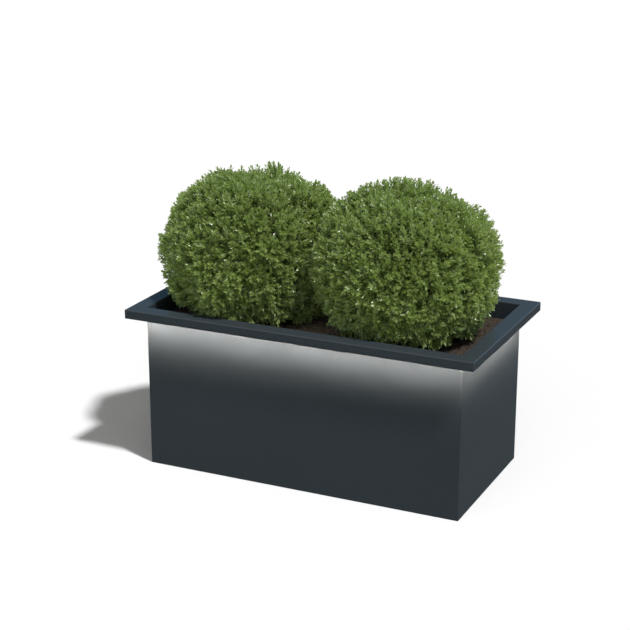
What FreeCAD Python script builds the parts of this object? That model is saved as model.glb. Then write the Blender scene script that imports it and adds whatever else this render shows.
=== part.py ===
import FreeCAD, Part
import math
import os

# Steel planter with a lit rim, planted with two clipped box shrubs.
# Millimetres. +X along the length, -Y to the front, +Z up, origin on the floor under the centre.

Vector = FreeCAD.Vector

# Folded steel body
body_length = 1000.0
body_width = 500.0
body_height = 500.0
sheet = 2.0
fold_radius = 1.0        # inside radius of every fold
corner_radius = 3.0      # ground welds at the upright corners
rim_width = 50.0         # from the wall's inner face to the outside of the lip
lip_height = 28.0
lip_return = 11.0        # safety fold under the lip
floor_return = 25.0      # flange turned in at the bottom of each panel

# Clearances shared by many pieces
fit_gap = 0.3            # round a piece that is set in beside another
running_gap = 0.05       # round a shaft that turns in its hole
soft_gap = 0.5           # round soil, roots and leaves
hole_gap = 0.4           # round a screw, tube or lead in its hole
cut_overrun = 5.0        # how far every cutting shape stands out of what it cuts

# Base: tray on bearers, tied walls
bearer_width = 50.0
bearer_height = 50.0
bearer_gusset_gap = 20.0
tray_upstand = 20.0
tie_width = 30.0
tie_thickness = 4.0
tie_tab = 40.0           # each folded end, along the wall
tie_height_share = 0.6   # of the body's height

# Levelling feet at the corners
pad_radius = 20.0
pad_neck_radius = 12.0
pad_thickness = 8.0
pad_rim = 3.0            # upright edge of the pad
pad_socket = 5.0         # depth of the stud's seat in the pad
pad_floor_gap = 1.0      # pad is drawn up clear of the floor at rest
pad_side_gap = 4.0       # pad to the panel's floor return
stud_radius = 5.0
stud_top_gap = 2.0       # stud to the tray above it
collar_flats = 14.0      # spanner collar on the stud
collar_thickness = 6.0
collar_nut_gap = 1.0
nut_flats = 17.0
nut_thickness = 8.0
gusset_thickness = 4.0
gusset_margin = 18.0     # stud's axis to the sloping edge

# Drainage
drain_radius = 10.0
drain_wall = 2.0
drain_flange = 18.0
drain_flange_thickness = 2.0
drain_tail = 30.0        # below the tray's top face
drain_length_share = 0.25   # of the bearers' distance from the middle
drain_width_share = 0.3     # of the body's width
board_plate = 2.0
board_stud_radius = 14.0
board_stud_tip = 9.0
board_stud_pitch = 76.0
board_stud_margin = 5.0     # stud to the board's edge and to its holes

# Lights under the rim
channel_width = 10.0
channel_height = 10.0
channel_wall = 1.0
channel_corner_gap = 5.0    # channel's end to the next side's channel
cap_thickness = 2.0
diffuser_thickness = 1.2
diffuser_edge = 0.4         # rounding of the diffuser's lower edges
tape_width = 7.0
tape_thickness = 0.8
diode_length = 3.5
diode_width = 2.8
diode_height = 1.0
diode_pitch = 25.0
link_radius = 1.2

# Lead from the driver to the lights
lead_radius = 2.0
lead_bend = 12.0
lead_sway = 8.0
lead_tail = 1.0             # lead's end past the channel's side wall
lead_sway_shares = (0.75, 0.42)   # of the way from the wall to the channel
grommet_drop = 16.0         # lead's axis below the rim
grommet_neck = 4.5
grommet_flange = 7.0
grommet_flange_thickness = 1.5
conduit_radius = 6.0
conduit_wall = 1.5
conduit_wall_gap = 8.0      # conduit to the wall's inner face
conduit_rise = 12.0         # conduit's top above the soil
conduit_tail = 3.0          # conduit's end below the tray
conduit_collar = 9.0
conduit_collar_height = 3.0
clip_width = 16.0
clip_height = 8.0
clip_band = 2.0
clip_height_shares = (0.3, 0.75)  # up the conduit

# Driver under the tray
driver_length = 160.0
driver_width = 42.0
driver_height = 32.0
driver_corner = 4.0
driver_ear = 14.0
driver_ear_thickness = 3.0
driver_boss_radius = 6.0
driver_boss_length = 8.0
driver_front_share = 0.36   # of the body's width, from the front wall to the driver's front end
driver_stud_radius = 2.0
driver_stud_length = 9.0
driver_nut_flats = 7.0
driver_nut_thickness = 3.2

# Gland for a supply cable
gland_bore = 4.25
gland_thread = 8.0
gland_flats = 20.0
gland_hex_thickness = 6.0
gland_dome_radius = 9.0
gland_dome_length = 14.0
gland_dome_edge = 3.0
gland_locknut_thickness = 5.0
gland_thread_end = 3.0      # thread past the locknut

# Planting
soil_drop = 50.0            # soil below the rim's top
left_planting_margin = 236.0    # left shrub's axis to the left wall's inner face
right_planting_margin = 268.0   # right shrub's axis to the right wall's inner face
root_radius = 140.0
root_foot_radius = 105.0
soil_under_roots = 115.0
crown_half_height = 234.0
crown_flat = 32.0           # how much wider than high the crown is, at its radius
crown_lift_share = 0.812    # of its half height: the crown's widest level above the soil
crown_ground_gap = 5.0
crown_depth = 65.0          # leafy layer round the open, twiggy middle
crown_floor = 25.0          # leafy layer under the open middle
crown_middle_share = 0.9    # of its half height: how far the open middle may go below its widest level
crown_between = 1.0         # between the two crowns
trunk_radius = 16.0
trunk_top_radius = 12.0
trunk_height = 125.0
branch_count = 6
branch_radius = 8.0
branch_tip_radius = 4.0
branch_turn = math.radians(137.5)   # from each branch to the next
branch_start_shares = (0.35, 0.9)   # up the trunk, lowest and highest
branch_spread_share = 0.9   # outward run for each unit of rise

# Worked out from the values above
half_length = body_length / 2
half_width = body_width / 2
inner_half_length = half_length - sheet
inner_half_width = half_width - sheet
overhang = rim_width - sheet
outer_fold = fold_radius + sheet
lip_bottom = body_height - lip_height
rim_underside = body_height - sheet

tray_bottom = sheet + bearer_height
tray_top = tray_bottom + sheet
board_top = tray_top + tray_upstand
soil_level = body_height - soil_drop

foot_inset = floor_return - sheet + pad_radius + pad_side_gap
gusset_leg = 2 * foot_inset + gusset_margin * math.sqrt(2)
pad_top = pad_floor_gap + pad_thickness
stud_bottom = pad_top - pad_socket
stud_top = tray_bottom - stud_top_gap
collar_bottom = pad_top + fit_gap
nut_bottom = collar_bottom + collar_thickness + collar_nut_gap
gusset_bottom = nut_bottom + nut_thickness
bearer_x = inner_half_length - gusset_leg - bearer_gusset_gap - bearer_width / 2

channel_far = overhang - sheet - fold_radius
channel_near = channel_far - channel_width
channel_mid = (channel_far + channel_near) / 2
channel_bottom = rim_underside - channel_height
channel_mid_z = (rim_underside + channel_bottom) / 2

lead_x = -bearer_x / 2
lead_low_z = tray_bottom - driver_height / 2
grommet_z = body_height - grommet_drop
conduit_y = -(inner_half_width - conduit_wall_gap - conduit_radius)
conduit_bottom = tray_bottom - conduit_tail
conduit_top = soil_level + conduit_rise
driver_front = -inner_half_width + driver_front_share * body_width
driver_back = driver_front + driver_length

left_shrub_x = left_planting_margin - inner_half_length
right_shrub_x = inner_half_length - right_planting_margin
crown_meeting_x = (left_shrub_x + right_shrub_x) / 2
root_height = soil_level - board_top - soil_under_roots
crown_lift = crown_lift_share * crown_half_height
crown_z = soil_level + crown_lift
crown_radius = crown_half_height + crown_flat

SIDES = (("front", 0), ("right", 90), ("back", 180), ("left", 270))
PANEL_NAMES = {
    "front": "front_panel",
    "right": "right_end_panel",
    "back": "back_panel",
    "left": "left_end_panel",
}
CORNERS = (("front_left", -1, -1), ("front_right", 1, -1), ("back_left", -1, 1), ("back_right", 1, 1))
SHRUBS = (("left", -1, left_shrub_x), ("right", 1, right_shrub_x))


def outline(points, place):
    """Closed face through (a, b, radius) points, with an arc of that radius at each turn."""
    edges = []
    starts = []
    ends = []
    count = len(points)
    for index, (a, b, radius) in enumerate(points):
        here = Vector(a, b, 0)
        back = (Vector(*points[index - 1][:2], 0) - here).normalize()
        ahead = (Vector(*points[(index + 1) % count][:2], 0) - here).normalize()
        half_turn = back.getAngle(ahead) / 2
        trim = radius / math.tan(half_turn)
        starts.append(here + back * trim)
        ends.append(here + ahead * trim)
        if radius > 0:
            inward = (back + ahead).normalize()
            middle = here + inward * (radius / math.sin(half_turn) - radius)
            arc = Part.Arc(place(starts[-1]), place(middle), place(ends[-1]))
            edges.append((index, arc.toShape()))
    ordered = []
    arcs = dict(edges)
    for index in range(count):
        if index in arcs:
            ordered.append(arcs[index])
        following = starts[(index + 1) % count]
        if (following - ends[index]).Length > 0:
            ordered.append(Part.LineSegment(place(ends[index]), place(following)).toShape())
    return Part.Face(Part.Wire(ordered))


def in_plan(z):
    """Place for an outline that lies level at height z."""
    return lambda p: Vector(p.x, p.y, z)


def across_front(half_depth, x):
    """Place for an outline of (distance out from the front wall, height) points at one x."""
    return lambda p: Vector(x, -(half_depth + p.x), p.y)


def prism(points, low, high):
    """Upright prism on a level outline."""
    return outline(points, in_plan(low)).extrude(Vector(0, 0, high - low))


def sharp(points):
    """Outline points with no rounding."""
    return [(a, b, 0) for a, b in points]


def block(low, high):
    """Box between two corners."""
    size = Vector(*high) - Vector(*low)
    return Part.makeBox(size.x, size.y, size.z, Vector(*low))


def post(radius, x, y, low, high):
    """Upright cylinder."""
    return Part.makeCylinder(radius, high - low, Vector(x, y, low))


def hexagon(flats, x, y, low, high):
    """Upright hexagonal prism, by its width across flats."""
    corner = flats / math.sqrt(3)
    turns = [math.radians(60 * index) for index in range(6)]
    return prism(sharp([(x + corner * math.cos(t), y + corner * math.sin(t)) for t in turns]), low, high)


def turned(shape, degrees):
    """The shape turned about the planter's upright axis."""
    copy = shape.copy()
    copy.rotate(Vector(0, 0, 0), Vector(0, 0, 1), degrees)
    return copy


def side_halves(degrees):
    """Half run and half depth of the wall on a side."""
    if degrees % 180 == 0:
        return half_length, half_width
    return half_width, half_length


def tube_path(points, radii, place):
    """Open wire of straight runs joined by tangent arcs."""
    edges = []
    at = Vector(*points[0], 0)
    for index in range(1, len(points) - 1):
        here = Vector(*points[index], 0)
        back = (Vector(*points[index - 1], 0) - here).normalize()
        ahead = (Vector(*points[index + 1], 0) - here).normalize()
        half_turn = back.getAngle(ahead) / 2
        radius = radii[index - 1]
        start = here + back * (radius / math.tan(half_turn))
        end = here + ahead * (radius / math.tan(half_turn))
        middle = here + (back + ahead).normalize() * (radius / math.sin(half_turn) - radius)
        edges.append(Part.LineSegment(place(at), place(start)).toShape())
        edges.append(Part.Arc(place(start), place(middle), place(end)).toShape())
        at = end
    edges.append(Part.LineSegment(place(at), place(Vector(*points[-1], 0))).toShape())
    return Part.Wire(edges)


def tube(path, radius):
    """Round solid along a wire."""
    first = path.Edges[0]
    start = first.valueAt(first.FirstParameter)
    heading = first.tangentAt(first.FirstParameter)
    ring = Part.Wire(Part.makeCircle(radius, start, heading))
    return path.makePipeShell([ring], True, False)


def panel_section():
    """Section of a folded panel as (distance out from the wall's outer face, height, radius)."""
    return [
        (-floor_return, 0, 0),
        (0, 0, outer_fold),
        (0, rim_underside, fold_radius),
        (overhang - sheet, rim_underside, fold_radius),
        (overhang - sheet, lip_bottom + sheet, fold_radius),
        (overhang - lip_return, lip_bottom + sheet, 0),
        (overhang - lip_return, lip_bottom, 0),
        (overhang, lip_bottom, outer_fold),
        (overhang, body_height, outer_fold),
        (-sheet, body_height, outer_fold),
        (-sheet, sheet, fold_radius),
        (-floor_return, sheet, 0),
    ]


def mitre_wedge(half_run, half_depth):
    """Ground between the 45 degree corner planes of the front side."""
    inner = -floor_return - cut_overrun
    outer = overhang + cut_overrun
    plan = [
        (-half_run - inner, -half_depth - inner),
        (half_run + inner, -half_depth - inner),
        (half_run + outer, -half_depth - outer),
        (-half_run - outer, -half_depth - outer),
    ]
    return prism(sharp(plan), -cut_overrun, body_height + cut_overrun)


def corner_waste(x, y, low, high):
    """What grinding takes off an upright corner: the square outside its radius."""
    inner_x = x - math.copysign(corner_radius, x)
    inner_y = y - math.copysign(corner_radius, y)
    outer_x = x + math.copysign(cut_overrun, x)
    outer_y = y + math.copysign(cut_overrun, y)
    corner_low = (min(inner_x, outer_x), min(inner_y, outer_y), low)
    corner_high = (max(inner_x, outer_x), max(inner_y, outer_y), high)
    round_bar = post(corner_radius, inner_x, inner_y, low - cut_overrun, high + cut_overrun)
    return block(corner_low, corner_high).cut(round_bar)


def folded_panel(half_run, half_depth):
    """One wall with its rim, lip, safety return and floor return, mitred at both ends."""
    reach = half_run + overhang + cut_overrun
    face = outline(panel_section(), across_front(half_depth, -reach))
    panel = face.extrude(Vector(2 * reach, 0, 0)).common(mitre_wedge(half_run, half_depth))
    for end in (-1, 1):
        wall = corner_waste(end * half_run, -half_depth, -cut_overrun, rim_underside - fold_radius)
        lip_x = end * (half_run + overhang)
        lip_y = -half_depth - overhang
        lip = corner_waste(lip_x, lip_y, lip_bottom - cut_overrun, body_height + cut_overrun)
        panel = panel.cut(wall).cut(lip)
    return panel


def wall_hole(radius, x, y, z):
    """Cutter for a round hole through the front or back wall."""
    length = sheet + 2 * cut_overrun
    return Part.makeCylinder(radius, length, Vector(x, y - length / 2, z), Vector(0, 1, 0))


def panels():
    """Four walls by node name."""
    made = {}
    for side, degrees in SIDES:
        made[PANEL_NAMES[side]] = turned(folded_panel(*side_halves(degrees)), degrees)
    grommet_hole = wall_hole(grommet_neck + running_gap, lead_x, -half_width, grommet_z)
    gland_hole = wall_hole(gland_thread + hole_gap, lead_x, half_width, lead_low_z)
    made["front_panel"] = made["front_panel"].cut(grommet_hole)
    made["back_panel"] = made["back_panel"].cut(gland_hole)
    return made


def tray_halves(inset):
    """Half length and half width of the tray's outside, drawn in by an inset."""
    return inner_half_length - fit_gap - inset, inner_half_width - fit_gap - inset


def rounded_slab(half_x, half_y, radius, low, high):
    """Level slab with rounded upright corners."""
    plan = [
        (-half_x, -half_y, radius),
        (half_x, -half_y, radius),
        (half_x, half_y, radius),
        (-half_x, half_y, radius),
    ]
    return prism(plan, low, high)


def drain_places():
    """Centres of the drain outlets."""
    x = drain_length_share * bearer_x
    y = drain_width_share * body_width
    return [(x * sx, y * sy) for _, sx, sy in CORNERS]


def base_tray():
    """Tray with turned-up edges, drain holes and the conduit's hole."""
    rim = tray_top + tray_upstand
    outer = rounded_slab(*tray_halves(0), outer_fold, tray_bottom, rim)
    inner = rounded_slab(*tray_halves(sheet), fold_radius, tray_top, rim + cut_overrun)
    tray = outer.cut(inner)
    low = tray_bottom - cut_overrun
    high = tray_top + cut_overrun
    for x, y in drain_places():
        tray = tray.cut(post(drain_radius + drain_wall + hole_gap, x, y, low, high))
    return tray.cut(post(conduit_radius + hole_gap, lead_x, conduit_y, low, high))


def base_bearer(x):
    """Folded channel from front to back, standing on the floor returns."""
    half = bearer_width / 2
    top = tray_bottom
    section = [
        (-half, sheet, 0),
        (-half, top, outer_fold),
        (half, top, outer_fold),
        (half, sheet, 0),
        (half - sheet, sheet, 0),
        (half - sheet, top - sheet, fold_radius),
        (-half + sheet, top - sheet, fold_radius),
        (-half + sheet, sheet, 0),
    ]
    reach = inner_half_width - fold_radius - fit_gap
    face = outline(section, lambda p: Vector(x + p.x, -reach, p.y))
    return face.extrude(Vector(0, 2 * reach, 0))


def tie_bar():
    """Flat bar across the long walls with both ends folded along them."""
    reach = inner_half_width
    half = tie_thickness / 2
    plan = [
        (-half, -reach, fold_radius + tie_thickness),
        (-half, reach, fold_radius + tie_thickness),
        (-half + tie_tab, reach, 0),
        (-half + tie_tab, reach - tie_thickness, 0),
        (half, reach - tie_thickness, fold_radius),
        (half, -reach + tie_thickness, fold_radius),
        (-half + tie_tab, -reach + tie_thickness, 0),
        (-half + tie_tab, -reach, 0),
    ]
    low = tie_height_share * body_height
    return prism(plan, low, low + tie_width)


def foot_place(sx, sy):
    """Axis of a levelling foot."""
    return sx * (inner_half_length - foot_inset), sy * (inner_half_width - foot_inset)


def foot_gusset(sx, sy):
    """Corner plate that carries a foot."""
    corner = (sx * inner_half_length, sy * inner_half_width)
    along = (sx * (inner_half_length - gusset_leg), sy * inner_half_width)
    across = (sx * inner_half_length, sy * (inner_half_width - gusset_leg))
    plate = prism(sharp([corner, along, across]), gusset_bottom, gusset_bottom + gusset_thickness)
    x, y = foot_place(sx, sy)
    low = gusset_bottom - cut_overrun
    high = gusset_bottom + gusset_thickness + cut_overrun
    return plate.cut(post(stud_radius + hole_gap, x, y, low, high))


def foot_nut(sx, sy):
    """Nut welded under a gusset."""
    x, y = foot_place(sx, sy)
    nut = hexagon(nut_flats, x, y, nut_bottom, gusset_bottom)
    low = nut_bottom - cut_overrun
    high = gusset_bottom + cut_overrun
    return nut.cut(post(stud_radius + running_gap, x, y, low, high))


def foot_pad(sx, sy):
    """Round pad with a sloping back and a seat for its stud."""
    x, y = foot_place(sx, sy)
    edge_top = pad_floor_gap + pad_rim
    pad = post(pad_radius, x, y, pad_floor_gap, edge_top)
    back = Part.makeCone(pad_radius, pad_neck_radius, pad_top - edge_top, Vector(x, y, edge_top))
    seat = post(stud_radius + running_gap, x, y, stud_bottom, pad_top + cut_overrun)
    return pad.fuse(back).cut(seat)


def foot_stud(sx, sy):
    """Levelling stud with its spanner collar."""
    x, y = foot_place(sx, sy)
    rod = post(stud_radius, x, y, stud_bottom, stud_top)
    return rod.fuse(hexagon(collar_flats, x, y, collar_bottom, collar_bottom + collar_thickness))


def drain_outlet(x, y):
    """Flanged spigot through the tray."""
    flange = post(drain_flange, x, y, tray_top, tray_top + drain_flange_thickness)
    spigot = post(drain_radius + drain_wall, x, y, tray_top - drain_tail, tray_top)
    way = post(drain_radius, x, y, tray_top - drain_tail - cut_overrun, board_top)
    return flange.fuse(spigot).cut(way)


def board_stud_places(half_x, half_y):
    """Centres of the drainage board's studs, clear of the outlets and the conduit."""
    keep_off = [(x, y, drain_flange) for x, y in drain_places()]
    keep_off.append((lead_x, conduit_y, conduit_collar))
    margin = board_stud_radius + board_stud_margin
    count_x = int(2 * (half_x - margin) / board_stud_pitch)
    count_y = int(2 * (half_y - margin) / board_stud_pitch)
    places = []
    for row in range(count_y + 1):
        for column in range(count_x + 1):
            x = (column - count_x / 2) * board_stud_pitch
            y = (row - count_y / 2) * board_stud_pitch
            clear = [math.hypot(x - a, y - b) > radius + margin for a, b, radius in keep_off]
            if all(clear):
                places.append((x, y))
    return places


def drainage_board():
    """Plastic board on tapered studs that stand on the tray."""
    half_x, half_y = tray_halves(sheet + fit_gap)
    plate_bottom = board_top - board_plate
    plate = rounded_slab(half_x, half_y, fold_radius, plate_bottom, board_top)
    studs = [
        Part.makeCone(board_stud_tip, board_stud_radius, plate_bottom - tray_top, Vector(x, y, tray_top))
        for x, y in board_stud_places(half_x, half_y)
    ]
    board = plate.fuse(studs).removeSplitter()
    for x, y in drain_places():
        board = board.cut(post(drain_flange + fit_gap, x, y, tray_top, board_top + cut_overrun))
    return board.cut(post(conduit_collar + fit_gap, lead_x, conduit_y, tray_top, board_top + cut_overrun))


def channel_half(half_run):
    """Half length of the light channel on a side."""
    return half_run + channel_near - channel_corner_gap


def front_strip(half_depth, half, near, far, low, high):
    """Straight bar under the front rim, by its distance out from the wall."""
    return block((-half, -half_depth - far, low), (half, -half_depth - near, high))


def light_channel(half_run, half_depth):
    """Channel fixed under the rim, open downwards."""
    half = channel_half(half_run)
    outer = front_strip(half_depth, half, channel_near, channel_far, channel_bottom, rim_underside)
    inside = front_strip(
        half_depth,
        half + cut_overrun,
        channel_near + channel_wall,
        channel_far - channel_wall,
        channel_bottom - cut_overrun,
        rim_underside - channel_wall,
    )
    return outer.cut(inside)


def light_diffuser(half_run, half_depth):
    """Opal strip that closes a channel."""
    half = channel_half(half_run)
    near = channel_near + channel_wall
    far = channel_far - channel_wall
    top = channel_bottom + diffuser_thickness
    section = [
        (near, top, 0),
        (near, channel_bottom, diffuser_edge),
        (far, channel_bottom, diffuser_edge),
        (far, top, 0),
    ]
    face = outline(section, across_front(half_depth, -half))
    return face.extrude(Vector(2 * half, 0, 0))


def light_tape(half_run, half_depth):
    """Circuit tape in a channel with its row of diodes."""
    half = channel_half(half_run)
    tape_top = rim_underside - channel_wall
    tape_low = tape_top - tape_thickness
    near = channel_mid - tape_width / 2
    solids = [front_strip(half_depth, half, near, near + tape_width, tape_low, tape_top)]
    count = int(2 * half / diode_pitch)
    for index in range(count):
        x = (index - (count - 1) / 2) * diode_pitch
        low = (x - diode_length / 2, -half_depth - channel_mid - diode_width / 2, tape_low - diode_height)
        high = (x + diode_length / 2, -half_depth - channel_mid + diode_width / 2, tape_low)
        solids.append(block(low, high))
    return Part.makeCompound(solids)


def end_caps(half_run, half_depth):
    """Caps on both ends of a channel."""
    half = channel_half(half_run)
    caps = []
    for end in (-1, 1):
        inner = end * half
        outer = end * (half + cap_thickness)
        low = (min(inner, outer), -half_depth - channel_far, channel_bottom)
        high = (max(inner, outer), -half_depth - channel_near, rim_underside)
        caps.append(block(low, high))
    return caps


def corner_link(half_run, half_depth):
    """Quarter turn of lead from the front channel's right end to the next side's channel."""
    start_x = channel_half(half_run) + cap_thickness
    end_y = -(channel_half(half_depth) + cap_thickness)
    mid_x = half_run + channel_mid
    mid_y = -(half_depth + channel_mid)
    bend = min(mid_x - start_x, end_y - mid_y)
    centre = Vector(mid_x - bend, mid_y + bend, channel_mid_z)
    circle = Part.makeCircle(link_radius, centre - Vector(0, bend, 0), Vector(1, 0, 0))
    return Part.Face(Part.Wire(circle)).revolve(centre, Vector(0, 0, 1), 90)


def lights():
    """Channels, tapes, diffusers, caps and links by node name."""
    made = {}
    caps = []
    links = []
    for side, degrees in SIDES:
        halves = side_halves(degrees)
        made["light_channel_" + side] = turned(light_channel(*halves), degrees)
        made["light_tape_" + side] = turned(light_tape(*halves), degrees)
        made["light_diffuser_" + side] = turned(light_diffuser(*halves), degrees)
        caps += [turned(cap, degrees) for cap in end_caps(*halves)]
        if side != "left":
            links.append(turned(corner_link(*halves), degrees))
    lead_way = Part.makeCylinder(
        lead_radius + running_gap,
        channel_width / 2,
        Vector(lead_x, -half_width - channel_mid, channel_mid_z),
        Vector(0, 1, 0),
    )
    made["light_channel_front"] = made["light_channel_front"].cut(lead_way)
    made["channel_end_caps"] = Part.makeCompound(caps)
    made["corner_links"] = Part.makeCompound(links)
    return made


def lighting_lead():
    """Lead from the driver, up the conduit and through the front wall into the channel."""
    out, near = lead_sway_shares
    points = [
        (-half_width - channel_near - channel_wall - lead_tail, channel_mid_z),
        (-half_width - out * channel_near, channel_mid_z),
        (-half_width - near * channel_near, grommet_z),
        (conduit_y, grommet_z),
        (conduit_y, lead_low_z),
        (driver_front - driver_boss_length, lead_low_z),
    ]
    radii = [lead_sway, lead_sway, lead_bend, lead_bend]
    return tube(tube_path(points, radii, lambda p: Vector(lead_x, p.x, p.y)), lead_radius)


def ring_along_y(outer, inner, start_y, end_y, x, z):
    """Ring on an axis along Y."""
    length = end_y - start_y
    along = Vector(0, 1, 0)
    body = Part.makeCylinder(outer, length, Vector(x, start_y, z), along)
    way_start = Vector(x, start_y - cut_overrun, z)
    return body.cut(Part.makeCylinder(inner, length + 2 * cut_overrun, way_start, along))


def wall_grommet():
    """Rubber grommet round the lead in the front wall."""
    bore = lead_radius + running_gap
    outside = -half_width
    inside = -inner_half_width
    lip = grommet_flange_thickness
    neck = ring_along_y(grommet_neck, bore, outside, inside, lead_x, grommet_z)
    lips = [
        ring_along_y(grommet_flange, bore, outside - lip, outside, lead_x, grommet_z),
        ring_along_y(grommet_flange, bore, inside, inside + lip, lead_x, grommet_z),
    ]
    return neck.fuse(lips).removeSplitter()


def lead_conduit():
    """Tube that takes the lead down through the soil, with a collar on the tray."""
    body = post(conduit_radius, lead_x, conduit_y, conduit_bottom, conduit_top)
    collar = post(conduit_collar, lead_x, conduit_y, tray_top, tray_top + conduit_collar_height)
    way = post(
        conduit_radius - conduit_wall,
        lead_x,
        conduit_y,
        conduit_bottom - cut_overrun,
        conduit_top + cut_overrun,
    )
    return body.fuse(collar).cut(way)


def clip_heights():
    """Lower faces of the conduit's clips."""
    return [board_top + share * (conduit_top - board_top) for share in clip_height_shares]


def clip_corners(low, grown):
    """Opposite corners of a clip, grown by a gap on its free faces."""
    far = conduit_y + conduit_radius + clip_band
    first = (lead_x - clip_width / 2 - grown, -inner_half_width, low - grown)
    second = (lead_x + clip_width / 2 + grown, far + grown, low + clip_height + grown)
    return first, second


def conduit_clips():
    """Saddle clips that hold the conduit to the front wall."""
    clips = []
    for low in clip_heights():
        high = low + clip_height
        way = post(conduit_radius + running_gap, lead_x, conduit_y, low - cut_overrun, high + cut_overrun)
        clips.append(block(*clip_corners(low, 0)).cut(way))
    return Part.makeCompound(clips)


def driver_stud_places():
    """Axes of the two studs that hold the driver."""
    return [(lead_x, driver_front - driver_ear / 2), (lead_x, driver_back + driver_ear / 2)]


def light_driver():
    """Sealed driver hung under the tray by an ear at each end, with a lead boss under each ear."""
    half = driver_width / 2
    low = tray_bottom - driver_height
    plan = [
        (lead_x - half, driver_front, driver_corner),
        (lead_x + half, driver_front, driver_corner),
        (lead_x + half, driver_back, driver_corner),
        (lead_x - half, driver_back, driver_corner),
    ]
    case = prism(plan, low, tray_bottom)
    ears = block(
        (lead_x - half / 2, driver_front - driver_ear, tray_bottom - driver_ear_thickness),
        (lead_x + half / 2, driver_back + driver_ear, tray_bottom),
    )
    bosses = Part.makeCylinder(
        driver_boss_radius,
        driver_length + 2 * driver_boss_length,
        Vector(lead_x, driver_front - driver_boss_length, lead_low_z),
        Vector(0, 1, 0),
    )
    driver = case.fuse([ears, bosses]).removeSplitter()
    ear_bottom = tray_bottom - driver_ear_thickness
    for x, y in driver_stud_places():
        hole = post(driver_stud_radius + hole_gap, x, y, ear_bottom - hole_gap, tray_bottom + cut_overrun)
        driver = driver.cut(hole)
    return driver


def driver_studs():
    """Weld studs under the tray."""
    bottom = tray_bottom - driver_stud_length
    places = driver_stud_places()
    return Part.makeCompound([post(driver_stud_radius, x, y, bottom, tray_bottom) for x, y in places])


def driver_nuts():
    """Nuts that hold the driver's ears."""
    top = tray_bottom - driver_ear_thickness
    bottom = top - driver_nut_thickness
    nuts = []
    for x, y in driver_stud_places():
        way = post(driver_stud_radius + running_gap, x, y, bottom - cut_overrun, top + cut_overrun)
        nuts.append(hexagon(driver_nut_flats, x, y, bottom, top).cut(way))
    return Part.makeCompound(nuts)


def laid_back(shape):
    """An upright shape on the Z axis laid along +Y, from the back wall's outer face at the gland."""
    copy = shape.copy()
    copy.rotate(Vector(0, 0, 0), Vector(1, 0, 0), -90)
    copy.translate(Vector(lead_x, half_width, lead_low_z))
    return copy


def cable_gland():
    """Gland body: threaded stem through the wall, hexagon against it and a domed cap."""
    stem_end = -sheet - gland_locknut_thickness - gland_thread_end
    stem = post(gland_thread, 0, 0, stem_end, 0)
    hexed = hexagon(gland_flats, 0, 0, 0, gland_hex_thickness)
    dome_top = gland_hex_thickness + gland_dome_length
    dome = post(gland_dome_radius, 0, 0, gland_hex_thickness, dome_top)
    crest_low = dome_top - gland_dome_edge
    crest = [edge for edge in dome.Edges if edge.Closed and edge.BoundBox.ZMin > crest_low]
    dome = dome.makeFillet(gland_dome_edge, crest)
    way = post(gland_bore, 0, 0, stem_end - cut_overrun, dome_top + cut_overrun)
    return laid_back(stem.fuse([hexed, dome]).cut(way))


def gland_locknut():
    """Locknut on the gland's stem inside the wall."""
    inner_end = -sheet - gland_locknut_thickness
    nut = hexagon(gland_flats, 0, 0, inner_end, -sheet)
    way = post(gland_thread + running_gap, 0, 0, inner_end - cut_overrun, cut_overrun)
    return laid_back(nut.cut(way))


def root_cone(x, gap):
    """Pot-shaped root ball, grown at its side by a gap."""
    low = soil_level - root_height
    return Part.makeCone(root_foot_radius + gap, root_radius + gap, root_height, Vector(x, 0, low))


def soil():
    """Soil between the walls, with room for the roots, the tie bar and the conduit."""
    half_x = inner_half_length - soft_gap
    half_y = inner_half_width - soft_gap
    body = block((-half_x, -half_y, board_top), (half_x, half_y, soil_level))
    for _, _, x in SHRUBS:
        body = body.cut(root_cone(x, soft_gap))
    tie_low = tie_height_share * body_height
    half = tie_thickness / 2
    slot_low = tie_low - soft_gap
    slot_high = tie_low + tie_width + soft_gap
    bar_way = block((-half - soft_gap, -half_width, slot_low), (half + soft_gap, half_width, slot_high))
    body = body.cut(bar_way)
    tab_depth = tie_thickness + fold_radius + soft_gap
    for side in (-1, 1):
        inner = side * (inner_half_width - tab_depth)
        outer = side * half_width
        low = (-half - soft_gap, min(inner, outer), slot_low)
        high = (-half + tie_tab + soft_gap, max(inner, outer), slot_high)
        body = body.cut(block(low, high))
    conduit_way = post(conduit_radius + soft_gap, lead_x, conduit_y, board_top - cut_overrun, conduit_top)
    body = body.cut(conduit_way)
    for low in clip_heights():
        body = body.cut(block(*clip_corners(low, soft_gap)))
    return body


def crown_section(x):
    """Half section of a crown: outer arc, flat ground, trunk hole, floor and arc of the open middle."""
    hole = trunk_radius + soft_gap
    ground = soil_level + crown_ground_gap
    inner = crown_half_height - crown_depth
    floor = max(ground + crown_floor, crown_z - crown_middle_share * inner)
    ground_radius = crown_flat + math.sqrt(crown_half_height**2 - (crown_z - ground) ** 2)
    floor_radius = crown_flat + math.sqrt(inner**2 - (crown_z - floor) ** 2)

    def at(radius, z):
        return Vector(x + radius, 0, z)

    def line(start, end):
        return Part.LineSegment(at(*start), at(*end)).toShape()

    def bulge(start, radius, end):
        return Part.Arc(at(*start), at(crown_flat + radius, crown_z), at(*end)).toShape()

    top = (crown_flat, crown_z + crown_half_height)
    roof = (crown_flat, crown_z + inner)
    edges = [
        line((0, top[1]), top),
        bulge(top, crown_half_height, (ground_radius, ground)),
        line((ground_radius, ground), (hole, ground)),
        line((hole, ground), (hole, floor)),
        line((hole, floor), (floor_radius, floor)),
        bulge((floor_radius, floor), inner, roof),
        line(roof, (0, roof[1])),
        line((0, roof[1]), (0, top[1])),
    ]
    return Part.Face(Part.Wire(edges))


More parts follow.
